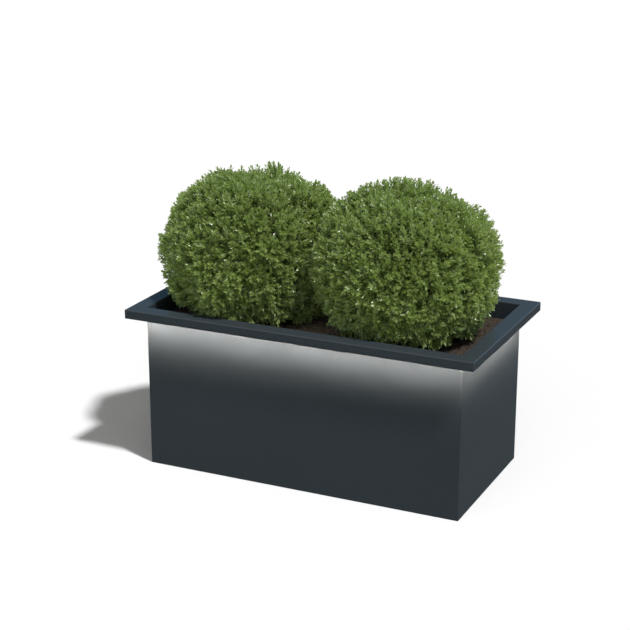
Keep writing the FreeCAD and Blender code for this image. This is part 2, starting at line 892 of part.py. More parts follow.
def wall_ground(top):
    """Ground taken by the walls and their rim, up to a height, with the leaves' clearance."""
    reach_x = half_length + overhang
    reach_y = half_width + overhang
    inner_x = inner_half_length - soft_gap
    inner_y = inner_half_width - soft_gap
    outer = block((-reach_x, -reach_y, 0), (reach_x, reach_y, top))
    return outer.cut(block((-inner_x, -inner_y, -cut_overrun), (inner_x, inner_y, top + cut_overrun)))


def lead_room():
    """Room that the leaves leave for the grommet, the lead's bend and the conduit at the front wall."""
    reach = max(grommet_flange, conduit_radius) + soft_gap
    low = (lead_x - reach, -half_width, soil_level)
    high = (lead_x + reach, conduit_y + reach, grommet_z + reach)
    return block(low, high)


def crown(sx, x):
    """Leafy crown: a clipped round shell, flat above the soil and where it meets its neighbour."""
    shell = crown_section(x).revolve(Vector(x, 0, 0), Vector(0, 0, 1), 360)
    reach = body_length + crown_radius
    meeting = crown_meeting_x + sx * crown_between / 2
    beyond_low = (min(meeting, -sx * reach), -reach, 0)
    beyond_high = (max(meeting, -sx * reach), reach, crown_z + reach)
    shell = shell.cut(block(beyond_low, beyond_high))
    return shell.cut(wall_ground(body_height + soft_gap)).cut(lead_room())


def branch_rise(start_z):
    """Rise of a branch from its start to the middle of its round tip, just inside the leafy shell."""
    room = crown_half_height - crown_depth - fit_gap - branch_tip_radius
    drop = start_z - crown_z
    square = branch_spread_share**2 + 1
    linear = drop - branch_spread_share * crown_flat
    rest = crown_flat**2 + drop**2 - room**2
    return (-linear + math.sqrt(linear**2 - square * rest)) / square


def stems(x):
    """Trunk with branches that leave it one above another and fan out to the leafy shell."""
    trunk = Part.makeCone(trunk_radius, trunk_top_radius, trunk_height, Vector(x, 0, soil_level))
    low_share, high_share = branch_start_shares
    pieces = []
    for index in range(branch_count):
        share = low_share + (high_share - low_share) * index / branch_count
        start = Vector(x, 0, soil_level + share * trunk_height)
        turn = branch_turn * index
        spread = Vector(branch_spread_share * math.cos(turn), branch_spread_share * math.sin(turn), 1)
        run = spread * branch_rise(start.z)
        pieces.append(Part.makeCone(branch_radius, branch_tip_radius, run.Length, start, run))
        pieces.append(Part.makeSphere(branch_tip_radius, start + run))
    return trunk.fuse(pieces).removeSplitter()


def build():
    """Every node by name."""
    nodes = panels()
    nodes["base_tray"] = base_tray()
    for name, x in (("left", -bearer_x), ("middle", 0), ("right", bearer_x)):
        nodes["base_bearer_" + name] = base_bearer(x)
    nodes["tie_bar"] = tie_bar()
    for corner, sx, sy in CORNERS:
        nodes["foot_gusset_" + corner] = foot_gusset(sx, sy)
        nodes["foot_pad_" + corner] = foot_pad(sx, sy)
        nodes["foot_stud_" + corner] = foot_stud(sx, sy)
    nodes["foot_nuts"] = Part.makeCompound([foot_nut(sx, sy) for _, sx, sy in CORNERS])
    nodes["drain_outlets"] = Part.makeCompound([drain_outlet(x, y) for x, y in drain_places()])
    nodes["drainage_board"] = drainage_board()
    nodes.update(lights())
    nodes["lighting_lead"] = lighting_lead()
    nodes["wall_grommet"] = wall_grommet()
    nodes["lead_conduit"] = lead_conduit()
    nodes["conduit_clips"] = conduit_clips()
    nodes["light_driver"] = light_driver()
    nodes["driver_studs"] = driver_studs()
    nodes["driver_nuts"] = driver_nuts()
    nodes["cable_gland"] = cable_gland()
    nodes["gland_locknut"] = gland_locknut()
    nodes["soil"] = soil()
    for side, sx, x in SHRUBS:
        nodes[side + "_root_ball"] = root_cone(x, 0)
        nodes[side + "_stems"] = stems(x)
        nodes[side + "_crown"] = crown(sx, x)
    return nodes


def main():
    """Write one file for each node."""
    os.makedirs("parts", exist_ok=True)
    for name, shape in build().items():
        shape.exportStep("parts/" + name + ".step")
        box = shape.BoundBox
        corners = (box.XMin, box.YMin, box.ZMin, box.XMax, box.YMax, box.ZMax)
        print(name, len(shape.Solids), shape.isValid(), round(shape.Volume))
        print([round(value, 2) for value in corners])


main()
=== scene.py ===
"""Looks of a folded steel planter with a lit rim, soil and two clipped box shrubs."""
import logging
import math
from dataclasses import dataclass, field
from enum import Enum
from typing import Any, Mapping, Optional, Sequence, Union

import bpy
import numpy as np
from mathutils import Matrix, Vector, noise


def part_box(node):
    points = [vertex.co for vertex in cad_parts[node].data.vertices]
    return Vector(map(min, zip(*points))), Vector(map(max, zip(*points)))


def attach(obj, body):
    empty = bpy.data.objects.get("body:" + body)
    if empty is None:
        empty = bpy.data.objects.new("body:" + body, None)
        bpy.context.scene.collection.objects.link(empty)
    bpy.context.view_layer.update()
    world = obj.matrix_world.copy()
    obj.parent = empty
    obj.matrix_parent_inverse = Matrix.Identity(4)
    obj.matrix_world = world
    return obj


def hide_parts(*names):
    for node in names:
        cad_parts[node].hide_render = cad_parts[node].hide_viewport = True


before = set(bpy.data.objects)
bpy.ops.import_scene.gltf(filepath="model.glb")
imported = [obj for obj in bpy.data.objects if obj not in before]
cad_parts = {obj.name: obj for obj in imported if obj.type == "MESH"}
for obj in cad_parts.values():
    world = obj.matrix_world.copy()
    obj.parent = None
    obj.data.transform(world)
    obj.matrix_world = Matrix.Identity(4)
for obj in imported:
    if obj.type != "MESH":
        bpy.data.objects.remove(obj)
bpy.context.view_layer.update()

log = logging.getLogger("planter")

Colour = tuple[float, float, float]
Place = tuple[float, float, float]
Span = tuple[float, float]
Number = Union["Signal", float]

UP = np.array((0.0, 0.0, 1.0))
LEVEL = np.array((1.0, 1.0, 0.0))
ROUND = 2.0 * math.pi
TINY = 1e-9

# One leaf: shares of its length and width at eight points, and the triangles between them.
LEAF_ALONG = np.array((0.0, 0.28, 0.3, 0.28, 0.8, 0.76, 0.8, 1.0))
LEAF_ASIDE = np.array((0.0, 0.46, 0.0, -0.46, 0.4, 0.0, -0.4, 0.0))
LEAF_LIFT = np.array((0.0, 0.07, 0.0, 0.07, 0.03, -0.04, 0.03, -0.11))
LEAF_RIB = np.array((1.0, 0.0, 1.0, 0.0, 0.0, 1.0, 0.0, 1.0))
LEAF_FACES = np.array(
    ((0, 1, 2), (0, 2, 3), (1, 4, 5), (1, 5, 2), (2, 5, 6), (2, 6, 3), (4, 7, 5), (5, 7, 6))
)


class Side(Enum):
    """The two shrubs, named by the end of the planter that they stand at."""

    LEFT = "left"
    RIGHT = "right"

    @property
    def sign(self) -> int:
        """Direction of this end along X."""
        return -1 if self is Side.LEFT else 1


class Storey(Enum):
    """Layers that a shrub's leaves are kept in, from the top down."""

    TOP = "top"
    MIDDLE = "middle"
    LOW = "low"


class Signal:
    """A shader socket that can be used in Python arithmetic."""

    def __init__(self, bench: "Bench", socket: bpy.types.NodeSocket) -> None:
        """Keeps the socket and the bench that new nodes go on."""
        self.bench = bench
        self.socket = socket

    def _math(self, operation: str, *values: Number) -> "Signal":
        """Adds one Math node."""
        return self.bench.node("ShaderNodeMath", {"operation": operation}, dict(enumerate(values)))

    def __add__(self, other: Number) -> "Signal":
        """Sum."""
        return self._math("ADD", self, other)

    def __radd__(self, other: Number) -> "Signal":
        """Sum with a number in front."""
        return self._math("ADD", other, self)

    def __sub__(self, other: Number) -> "Signal":
        """Difference."""
        return self._math("SUBTRACT", self, other)

    def __rsub__(self, other: Number) -> "Signal":
        """Difference from a number in front."""
        return self._math("SUBTRACT", other, self)

    def __mul__(self, other: Number) -> "Signal":
        """Product."""
        return self._math("MULTIPLY", self, other)

    def __rmul__(self, other: Number) -> "Signal":
        """Product with a number in front."""
        return self._math("MULTIPLY", other, self)

    def __pow__(self, other: Number) -> "Signal":
        """Power."""
        return self._math("POWER", self, other)

    def __rpow__(self, other: Number) -> "Signal":
        """Power of a number in front."""
        return self._math("POWER", other, self)

    def at_most(self, limit: Number) -> "Signal":
        """The smaller of this and a limit."""
        return self._math("MINIMUM", self, limit)

    def at_least(self, limit: Number) -> "Signal":
        """The larger of this and a limit."""
        return self._math("MAXIMUM", self, limit)

    def between(self, low: float, high: float) -> "Signal":
        """Smooth step from 0 at low to 1 at high.

        Args:
            low: value at and below which the step is 0.
            high: value at and above which the step is 1.

        Returns:
            The step as a signal.
        """
        settings = {"interpolation_type": "SMOOTHSTEP"}
        return self.bench.node("ShaderNodeMapRange", settings, {0: self, 1: low, 2: high, 3: 0.0, 4: 1.0})


class Bench:
    """The node tree of a material or of the world."""

    def __init__(self, owner: Union[bpy.types.Material, bpy.types.World]) -> None:
        """Empties the owner's node tree.

        Args:
            owner: what the tree belongs to.
        """
        self.owner = owner
        owner.use_nodes = True
        self.tree = owner.node_tree
        self.tree.nodes.clear()

    @classmethod
    def material(cls, name: str) -> "Bench":
        """A bench for a new material."""
        return cls(bpy.data.materials.new(name))

    def node(
        self,
        kind: str,
        settings: Optional[Mapping[str, Any]] = None,
        inputs: Optional[Mapping[Union[int, str], Any]] = None,
        output: Union[int, str, None] = 0,
    ) -> Optional[Signal]:
        """Adds any node.

        Args:
            kind: the node's type.
            settings: attributes that are set first; stops are a colour ramp's.
            inputs: values or signals by socket name or number.
            output: the socket that is wanted, or None.

        Returns:
            The wanted output as a signal.
        """
        made = self.tree.nodes.new(kind)
        for key, value in (settings or {}).items():
            if key == "stops":
                self._set_stops(made.color_ramp, value)
            else:
                setattr(made, key, value)
        for key, value in (inputs or {}).items():
            socket = made.inputs[key]
            if isinstance(value, Signal):
                self.tree.links.new(value.socket, socket)
            else:
                socket.default_value = value
        return None if output is None else Signal(self, made.outputs[output])

    @staticmethod
    def _set_stops(ramp: bpy.types.ColorRamp, stops: Sequence[tuple[float, Colour]]) -> None:
        """Sets a colour ramp's stops in order.

        Args:
            ramp: the ramp.
            stops: places from 0 to 1 with their colours.
        """
        while len(ramp.elements) < len(stops):
            ramp.elements.new(1.0)
        for element, (place, colour) in zip(ramp.elements, stops):
            element.position = place
            element.color = (*colour, 1.0)

    def vector(self, operation: str, first: Any, second: Any = None, output: Union[int, str] = 0) -> Signal:
        """Adds one Vector Math node.

        Args:
            operation: what it does.
            first: vector or signal.
            second: vector or signal, where the operation takes two.
            output: the socket that is wanted.

        Returns:
            The result.
        """
        inputs = {0: first} if second is None else {0: first, 1: second}
        return self.node("ShaderNodeVectorMath", {"operation": operation}, inputs, output)

    def part(self, vector: Signal, axis: str) -> Signal:
        """One of a vector's three numbers."""
        return self.node("ShaderNodeSeparateXYZ", None, {0: vector}, axis)

    def place(self) -> Signal:
        """Position on the piece in its own frame, in metres."""
        return self.node("ShaderNodeTexCoord", output="Object")

    def stretched(self, scale: Place) -> Signal:
        """Position multiplied along each axis."""
        return self.vector("MULTIPLY", self.place(), scale)

    def noise(
        self, per_metre: float, detail: float = 3.0, rough: float = 0.55, at: Optional[Signal] = None
    ) -> Signal:
        """Cloudy noise from 0 to 1.

        Args:
            per_metre: blotches in a metre.
            detail: octaves.
            rough: strength of the finer octaves.
            at: position, the piece's own unless given.

        Returns:
            The noise as a signal.
        """
        inputs = {"Vector": at or self.place(), "Scale": per_metre, "Detail": detail, "Roughness": rough}
        return self.node("ShaderNodeTexNoise", None, inputs, "Fac")

    def cells(self, per_metre: float) -> Signal:
        """Distance to the nearest of scattered points, so many in a metre."""
        inputs = {"Vector": self.place(), "Scale": per_metre}
        return self.node("ShaderNodeTexVoronoi", {"feature": "F1"}, inputs, "Distance")

    def attribute(self, name: str) -> Signal:
        """A number stored on the mesh."""
        return self.node("ShaderNodeAttribute", {"attribute_name": name}, None, "Fac")

    def mix(self, share: Number, first: Any, second: Any) -> Signal:
        """Mixes two colours.

        Args:
            share: how much of the second.
            first: colour or signal.
            second: colour or signal.

        Returns:
            The mixed colour.
        """
        first, second = ((*c, 1.0) if isinstance(c, tuple) else c for c in (first, second))
        settings = {"data_type": "RGBA", "blend_type": "MIX", "clamp_factor": True}
        return self.node("ShaderNodeMix", settings, {0: share, 6: first, 7: second}, 2)

    def bump(self, height: Signal, depth: float, strength: float) -> Signal:
        """Surface relief.

        Args:
            height: relief from 0 to 1.
            depth: its depth in metres.
            strength: how much of it shows.

        Returns:
            The normal as a signal.
        """
        inputs = {"Height": height, "Distance": depth, "Strength": strength}
        return self.node("ShaderNodeBump", None, inputs, "Normal")

    def seen_directly(self) -> Signal:
        """1 for rays from the camera, from mirrors and through glass, and 0 for scattered light.

        Returns:
            The mask as a signal.
        """
        camera = self.node("ShaderNodeLightPath", output="Is Camera Ray")
        glossy = self.node("ShaderNodeLightPath", output="Is Glossy Ray")
        through = self.node("ShaderNodeLightPath", output="Is Transmission Ray")
        return (camera + glossy + through).between(0.0, 1.0)

    def principled(self, **sockets: Any) -> Signal:
        """A Principled shader.

        Args:
            sockets: its inputs, with underscores for the spaces in their names.

        Returns:
            The shader.
        """
        named = {}
        for key, value in sockets.items():
            named[key.replace("_", " ")] = (*value, 1.0) if isinstance(value, tuple) else value
        return self.node("ShaderNodeBsdfPrincipled", None, named)

    def end(self, shader: Signal, kind: str = "ShaderNodeOutputMaterial") -> Any:
        """Links a shader to the output.

        Args:
            shader: what is shown.
            kind: the output node's type.

        Returns:
            The tree's owner.
        """
        self.node(kind, None, {"Surface": shader}, None)
        return self.owner

    def close(self, **sockets: Any) -> bpy.types.Material:
        """Ends the tree in a Principled shader with the given inputs."""
        return self.end(self.principled(**sockets))


def toned(colour: Colour, factor: float) -> Colour:
    """A colour made darker or lighter by a factor."""
    return tuple(factor * c for c in colour)


def uneven(mean: float, spread: float, signal: Signal) -> Signal:
    """A number that strays about its mean with a signal from 0 to 1."""
    return mean - 0.5 * spread + spread * signal


@dataclass(frozen=True)
class PowderCoat:
    """Fine-grained powder coat on folded steel, rubbed smoother on upper faces and their bends."""

    name: str
    colour: Colour
    roughness: float = 0.5
    gloss: float = 0.3
    rubbed: float = 0.0
    worn: float = 0.0
    rubbed_roughness: float = 0.22
    roughness_spread: float = 0.12
    cloud_per_metre: float = 5.0
    scuff_per_metre: float = 24.0
    grain_per_metre: float = 700.0
    grain_edge: Span = (0.3, 0.7)
    grain_depth: float = 0.00005
    tones: Span = (0.9, 1.1)
    upper_faces: Span = (0.1, 0.8)
    bend_start: Span = (0.15, 0.45)
    bend_end: Span = (0.75, 0.97)

    def build(self) -> bpy.types.Material:
        """Makes the coat's material.

        Returns:
            The material.
        """
        bench = Bench.material(self.name)
        dark, light = (toned(self.colour, tone) for tone in self.tones)
        clouds = bench.noise(self.cloud_per_metre, detail=4.0)
        grain = bench.noise(self.grain_per_metre, detail=2.0, rough=0.6)
        blotches = 0.5 * clouds + 0.5 * grain.between(*self.grain_edge)
        scuffs = bench.noise(self.scuff_per_metre, detail=5.0)
        upward = bench.part(bench.node("ShaderNodeNewGeometry", output="Normal"), "Z")
        bend = upward.between(*self.bend_start) - upward.between(*self.bend_end)
        return bench.close(
            Base_Color=bench.mix(blotches, dark, light),
            Roughness=uneven(self.roughness, self.roughness_spread, scuffs),
            Specular_IOR_Level=self.gloss,
            Coat_Weight=self.rubbed * upward.between(*self.upper_faces) + self.worn * bend,
            Coat_Roughness=self.rubbed_roughness,
            Normal=bench.bump(grain, self.grain_depth, strength=0.5),
        )


@dataclass(frozen=True)
class ZincPlate:
    """Bright zinc-plated steel with turned marks round Z."""

    name: str
    colour: Colour
    roughness: float = 0.38
    roughness_spread: float = 0.2
    bloom_per_metre: float = 260.0
    bloom_edge: Span = (0.1, 0.9)
    bloom_tone: float = 0.75
    mark_scale: Place = (8.0, 8.0, 660.0)
    mark_depth: float = 0.0002

    def build(self) -> bpy.types.Material:
        """Makes the plating's material.

        Returns:
            The material.
        """
        bench = Bench.material(self.name)
        blooms = bench.cells(self.bloom_per_metre).between(*self.bloom_edge)
        rings = bench.noise(1.0, detail=3.0, rough=0.6, at=bench.stretched(self.mark_scale))
        return bench.close(
            Base_Color=bench.mix(blooms, self.colour, toned(self.colour, self.bloom_tone)),
            Metallic=1.0,
            Roughness=uneven(self.roughness, self.roughness_spread, rings),
            Normal=bench.bump(rings, self.mark_depth, strength=0.5),
        )


@dataclass(frozen=True)
class Anodised:
    """Drawn aluminium profile, finely scored along its length."""

    name: str
    colour: Colour
    roughness: float = 0.4
    roughness_spread: float = 0.2
    score_scale: Place = (3.0, 900.0, 900.0)
    score_tone: float = 0.8

    def build(self) -> bpy.types.Material:
        """Makes the profile's material.

        Returns:
            The material.
        """
        bench = Bench.material(self.name)
        score = bench.noise(1.0, detail=4.0, rough=0.65, at=bench.stretched(self.score_scale))
        return bench.close(
            Base_Color=bench.mix(score, self.colour, toned(self.colour, self.score_tone)),
            Metallic=1.0,
            Roughness=uneven(self.roughness, self.roughness_spread, score),
        )


@dataclass(frozen=True)
class MouldedPlastic:
    """Moulded plastic or rubber with a spark-eroded grain."""

    name: str
    colour: Colour
    roughness: float = 0.6
    roughness_spread: float = 0.16
    cloud_per_metre: float = 30.0
    grain_per_metre: float = 1500.0
    grain_depth: float = 0.00004
    tones: Span = (0.85, 1.15)

    def build(self) -> bpy.types.Material:
        """Makes the moulding's material.

        Returns:
            The material.
        """
        bench = Bench.material(self.name)
        dark, light = (toned(self.colour, tone) for tone in self.tones)
        grain = bench.noise(self.grain_per_metre, detail=2.0)
        clouds = bench.noise(self.cloud_per_metre, detail=4.0)
        return bench.close(
            Base_Color=bench.mix(clouds, dark, light),
            Roughness=uneven(self.roughness, self.roughness_spread, grain),
            Normal=bench.bump(grain, self.grain_depth, strength=0.6),
        )


@dataclass(frozen=True)
class OpalGlow:
    """Opal diffuser lit from behind, from its outer edge in, over a width that narrows along the run."""

    name: str
    colour: Colour
    glow: Colour
    strength: float
    roughness: float = 0.35
    cloud_per_metre: float = 60.0
    cloud_tone: float = 0.96
    cloud_glow: float = 0.94
    lit_width: float = 0.0062
    lit_slope: Place = (-0.0017, 0.0052, 0.0)
    lit_most: float = 0.0066
    lit_edge: float = 0.0016
    wall_half: Place = (0.5007, 0.25, 1.0)
    outer_edge: float = 0.044
    unlit_share: float = 0.02
    feed: Span = (0.38, 0.53)
    feed_end: Span = (0.531, 0.535)
    feed_gain: float = 1.5

    def build(self) -> bpy.types.Material:
        """Makes the diffuser's material.

        Returns:
            The material.
        """
        bench = Bench.material(self.name)
        clouds = bench.noise(self.cloud_per_metre, detail=2.0)
        place = bench.place()
        width = self.lit_width + bench.vector("DOT_PRODUCT", place, self.lit_slope, "Value")
        past_wall = bench.vector("SUBTRACT", bench.vector("ABSOLUTE", place), self.wall_half)
        out = bench.part(past_wall, "X").at_least(bench.part(past_wall, "Y"))
        lit = (out + width.at_most(self.lit_most) - self.outer_edge).between(-self.lit_edge, self.lit_edge)
        left = -1.0 * bench.part(place, "X")
        fed = left.between(*self.feed) - left.between(*self.feed_end)
        full = bench.mix(clouds, self.glow, toned(self.glow, self.cloud_glow))
        full = bench.mix(fed, full, toned(self.glow, self.feed_gain))
        return bench.close(
            Base_Color=bench.mix(clouds, self.colour, toned(self.colour, self.cloud_tone)),
            Roughness=self.roughness,
            Emission_Color=bench.mix(lit, toned(self.glow, self.unlit_share), full),
            Emission_Strength=self.strength,
        )


@dataclass(frozen=True)
class Earth:
    """Damp potting soil or a root ball's earth, with painted light where given: a paler band along X that
    lifts shaded soil.
    """

    name: str
    dark: Colour
    light: Colour
    fibre: float = 0.0
    # Painted light: a paler colour over a band along X, lifting the soil that lies in the shrubs' shade.
    painted_light: Optional[Colour] = None
    painted_light_share: float = 0.5
    painted_light_from: Span = (-0.2, -0.05)
    painted_light_to: Span = (0.02, 0.3)
    clod_per_metre: float = 45.0
    clod_edge: Span = (0.35, 0.75)
    crumb_per_metre: float = 420.0
    crumb_edge: Span = (0.2, 0.7)
    crumb_share: float = 0.5
    crumb_tone: float = 0.5
    dust_per_metre: float = 900.0
    strand_scale: Place = (260.0, 260.0, 28.0)
    strand_edge: Span = (0.58, 0.7)
    strand_tone: float = 2.2
    relief_shares: Place = (0.6, 0.25, 0.15)
    depth: float = 0.006
    roughness: float = 0.9
    roughness_spread: float = 0.16
    gloss: float = 0.25

    def build(self) -> bpy.types.Material:
        """Makes the earth's material.

        Returns:
            The material.
        """
        bench = Bench.material(self.name)
        clods = bench.noise(self.clod_per_metre, detail=6.0, rough=0.65)
        crumbs = bench.cells(self.crumb_per_metre)
        dust = bench.noise(self.dust_per_metre, detail=2.0)
        shade = bench.mix(clods.between(*self.clod_edge), self.dark, self.light)
        pitted = self.crumb_share * crumbs.between(*self.crumb_edge)
        shade = bench.mix(pitted, shade, toned(self.dark, self.crumb_tone))
        # Painted light: the band between the shrubs, where their shade falls, is lightened towards the paler
        # colour.
        if self.painted_light:
            along = bench.part(bench.place(), "X")
            painted_light_band = along.between(*self.painted_light_from) - along.between(*self.painted_light_to)
            shade = bench.mix(self.painted_light_share * painted_light_band, shade, self.painted_light)
        if self.fibre:
            strands = bench.noise(1.0, detail=3.0, rough=0.6, at=bench.stretched(self.strand_scale))
            threads = self.fibre * strands.between(*self.strand_edge)
            shade = bench.mix(threads, shade, toned(self.light, self.strand_tone))
        coarse, middling, fine = self.relief_shares
        relief = coarse * clods + middling * crumbs + fine * dust
        return bench.close(
            Base_Color=shade,
            Roughness=uneven(self.roughness, self.roughness_spread, dust),
            Specular_IOR_Level=self.gloss,
            Normal=bench.bump(relief, self.depth, strength=0.7),
        )


@dataclass(frozen=True)
class Bark:
    """Grey-brown bark, furrowed along the stem."""

    name: str
    dark: Colour
    light: Colour
    furrow_scale: Place = (240.0, 240.0, 45.0)
    furrow_edge: Span = (0.35, 0.65)
    furrow_depth: float = 0.0015
    lichen_per_metre: float = 70.0
    lichen_edge: Span = (0.55, 0.7)
    lichen_share: float = 0.5
    lichen_tone: float = 1.4
    roughness: float = 0.9
    roughness_spread: float = 0.1

    def build(self) -> bpy.types.Material:
        """Makes the bark's material.

        Returns:
            The material.
        """
        bench = Bench.material(self.name)
        furrows = bench.noise(1.0, detail=5.0, rough=0.65, at=bench.stretched(self.furrow_scale))
        lichen = bench.noise(self.lichen_per_metre, detail=4.0)
        spots = self.lichen_share * lichen.between(*self.lichen_edge)
        shade = bench.mix(furrows.between(*self.furrow_edge), self.dark, self.light)
        return bench.close(
            Base_Color=bench.mix(spots, shade, toned(self.light, self.lichen_tone)),
            Roughness=uneven(self.roughness, self.roughness_spread, furrows),
            Normal=bench.bump(furrows, self.furrow_depth, strength=0.8),
        )


@dataclass(frozen=True)
class LeafSkin:
    """Leathery leaf, darker when old and, as painted shade, when deep in the crown, with a pale midrib, that
    lets some light through.
    """

    name: str
    old: Colour
    grown: Colour
    young: Colour
    rib: Colour
    grown_tints: Span = (0.05, 0.5)
    young_tints: Span = (0.5, 0.98)
    mottle_per_metre: float = 300.0
    mottle_edge: Span = (0.35, 0.75)
    mottle_share: float = 0.35
    mottle_tone: float = 0.72
    rib_share: float = 0.4
    rib_power: float = 6.0
    roughness: float = 0.36
    roughness_spread: float = 0.1
    gloss: float = 1.0
    wax: float = 0.6
    wax_roughness: float = 0.3
    glow_share: float = 0.46
    glow: Colour = (0.31, 0.42, 0.075)

    def build(self) -> bpy.types.Material:
        """Makes the leaves' material.

        Returns:
            The material.
        """
        bench = Bench.material(self.name)
        tint = bench.attribute("tint")
        rib = bench.attribute("rib")
        mottle = bench.noise(self.mottle_per_metre, detail=3.0)
        flecks = self.mottle_share * mottle.between(*self.mottle_edge)
        shade = bench.mix(tint.between(*self.grown_tints), self.old, self.grown)
        shade = bench.mix(tint.between(*self.young_tints), shade, self.young)
        shade = bench.mix(flecks, shade, toned(self.grown, self.mottle_tone))
        skin = bench.principled(
            Base_Color=bench.mix(self.rib_share * rib**self.rib_power, shade, self.rib),
            Roughness=uneven(self.roughness, self.roughness_spread, mottle),
            Specular_IOR_Level=self.gloss,
            Coat_Weight=self.wax,
            Coat_Roughness=self.wax_roughness,
        )
        through = bench.node("ShaderNodeBsdfTranslucent", None, {"Color": (*self.glow, 1.0)})
        return bench.end(bench.node("ShaderNodeMixShader", None, {0: self.glow_share, 1: skin, 2: through}))


@dataclass(frozen=True)
class FloorPaint:
    """Plain pale floor, which scatters less light than it shows."""

    name: str
    colour: Colour
    bounce: Colour

    def build(self) -> bpy.types.Material:
        """Makes the floor's material.

        Returns:
            The material.
        """
        bench = Bench.material(self.name)
        shade = bench.mix(bench.seen_directly(), self.bounce, self.colour)
        return bench.close(Base_Color=shade, Roughness=1.0, Specular_IOR_Level=0.0)


@dataclass
class MeshBin:
    """Points, triangles and per-point numbers of one piece, gathered in batches."""

    points: list[np.ndarray] = field(default_factory=list)
    faces: list[np.ndarray] = field(default_factory=list)
    numbers: dict[str, list[np.ndarray]] = field(default_factory=dict)
    count: int = 0

    def add(self, points: np.ndarray, faces: np.ndarray, **numbers: np.ndarray) -> None:
        """Adds a batch.

        Args:
            points: rows of x, y, z.
            faces: rows of three point numbers within the batch.
            numbers: one number for each point, by attribute name.
        """
        self.points.append(np.asarray(points, float).reshape(-1, 3))
        self.faces.append(np.asarray(faces, int).reshape(-1, 3) + self.count)
        for name, values in numbers.items():
            self.numbers.setdefault(name, []).append(np.asarray(values, float).ravel())
        self.count += len(self.points[-1])

    def piece(self, name: str, material: bpy.types.Material, smooth: bool = True) -> bpy.types.Object:
        """Makes the object.

        Args:
            name: the piece's name.
            material: its finish.
            smooth: whether its faces are shaded smooth.

        Returns:
            The new object.
        """
        points = np.concatenate(self.points)
        faces = np.concatenate(self.faces)
        mesh = bpy.data.meshes.new(name)
        mesh.vertices.add(len(points))
        mesh.vertices.foreach_set("co", points.astype(np.float32).ravel())
        mesh.loops.add(faces.size)
        mesh.loops.foreach_set("vertex_index", faces.astype(np.int32).ravel())
        mesh.polygons.add(len(faces))
        mesh.polygons.foreach_set("loop_start", np.arange(0, faces.size, 3, dtype=np.int32))
        mesh.polygons.foreach_set("use_smooth", np.full(len(faces), smooth))
        for attribute, batches in self.numbers.items():
            values = np.concatenate(batches).astype(np.float32)
            mesh.attributes.new(attribute, "FLOAT", "POINT").data.foreach_set("value", values)
        mesh.update(calc_edges=True)
        mesh.materials.append(material)
        made = bpy.data.objects.new(name, mesh)
        bpy.context.scene.collection.objects.link(made)
        return made


def unit(rows: np.ndarray) -> np.ndarray:
    """Rows scaled to length one."""
    return rows / np.maximum(np.linalg.norm(rows, axis=-1, keepdims=True), TINY)


def across(rows: np.ndarray) -> tuple[np.ndarray, np.ndarray]:
    """Two directions square to each row and to each other.

    Args:
        rows: directions of length one.

    Returns:
        The two sets of directions.
    """
    helper = np.where(np.abs(rows[:, 2:3]) < 0.9, UP, np.array((1.0, 0.0, 0.0)))
    first = unit(np.cross(rows, helper))
    return first, np.cross(rows, first)


def turns(count: int) -> np.ndarray:
    """Angles evenly spread round a circle."""
    return np.linspace(0.0, ROUND, count, endpoint=False)


def wheels(axes: np.ndarray, sides: int) -> np.ndarray:
    """Spokes of length one, square to each axis.

    Args:
        axes: directions of length one.
        sides: spokes round each.

    Returns:
        One row of spokes for each axis.
    """
    first, second = across(axes)
    turn = turns(sides)
    return np.cos(turn)[None, :, None] * first[:, None] + np.sin(turn)[None, :, None] * second[:, None]


def cloud(points: np.ndarray, size: float, shift: float = 0.0) -> np.ndarray:
    """Smooth noise from about -1 to 1 at each point.

    Args:
        points: rows of x, y, z in metres.
        size: width of its blotches in metres.
        shift: offset that gives another pattern.

    Returns:
        One number for each point.
    """
    scaled = points / size + shift
    return np.array([noise.noise(Vector(row)) for row in scaled])


def ring_faces(rings: int, sides: int) -> np.ndarray:
    """Triangles between rings of points that follow one another.

    Args:
        rings: number of rings.
        sides: points in each.

    Returns:
        Rows of three point numbers.
    """
    ring, side = np.meshgrid(np.arange(rings - 1), np.arange(sides), indexing="ij")
    here = ring * sides + side
    following = ring * sides + (side + 1) % sides
    first = np.stack((here, following, following + sides), -1)
    second = np.stack((here, following + sides, here + sides), -1)
    return np.concatenate((first.reshape(-1, 3), second.reshape(-1, 3)))


def copied(faces: np.ndarray, count: int, size: int) -> np.ndarray:
    """Triangles of one shape, numbered on for each of its copies.

    Args:
        faces: rows of three point numbers.
        count: number of copies.
        size: points in each.

    Returns:
        Rows of three point numbers.
    """
    return (faces[None] + (np.arange(count) * size)[:, None, None]).reshape(-1, 3)


def tapered_tube(line: np.ndarray, radii: np.ndarray, sides: int) -> tuple[np.ndarray, np.ndarray]:
    """A closed tube along a line of points.

    Args:
        line: rows of x, y, z.
        radii: radius at each point.
        sides: faces round it.

    Returns:
        Its points and triangles.
    """
    spokes = wheels(unit(np.gradient(line, axis=0)), sides)
    points = (line[:, None] + radii[:, None, None] * spokes).reshape(-1, 3)
    ends = np.stack((line[0], line[-1]))
    last = len(points)
    caps = []
    for side in range(sides):
        following = (side + 1) % sides
        caps.append((last, following, side))
        caps.append((last + 1, last - sides + side, last - sides + following))
    return np.concatenate((points, ends)), np.concatenate((ring_faces(len(line), sides), np.array(caps)))


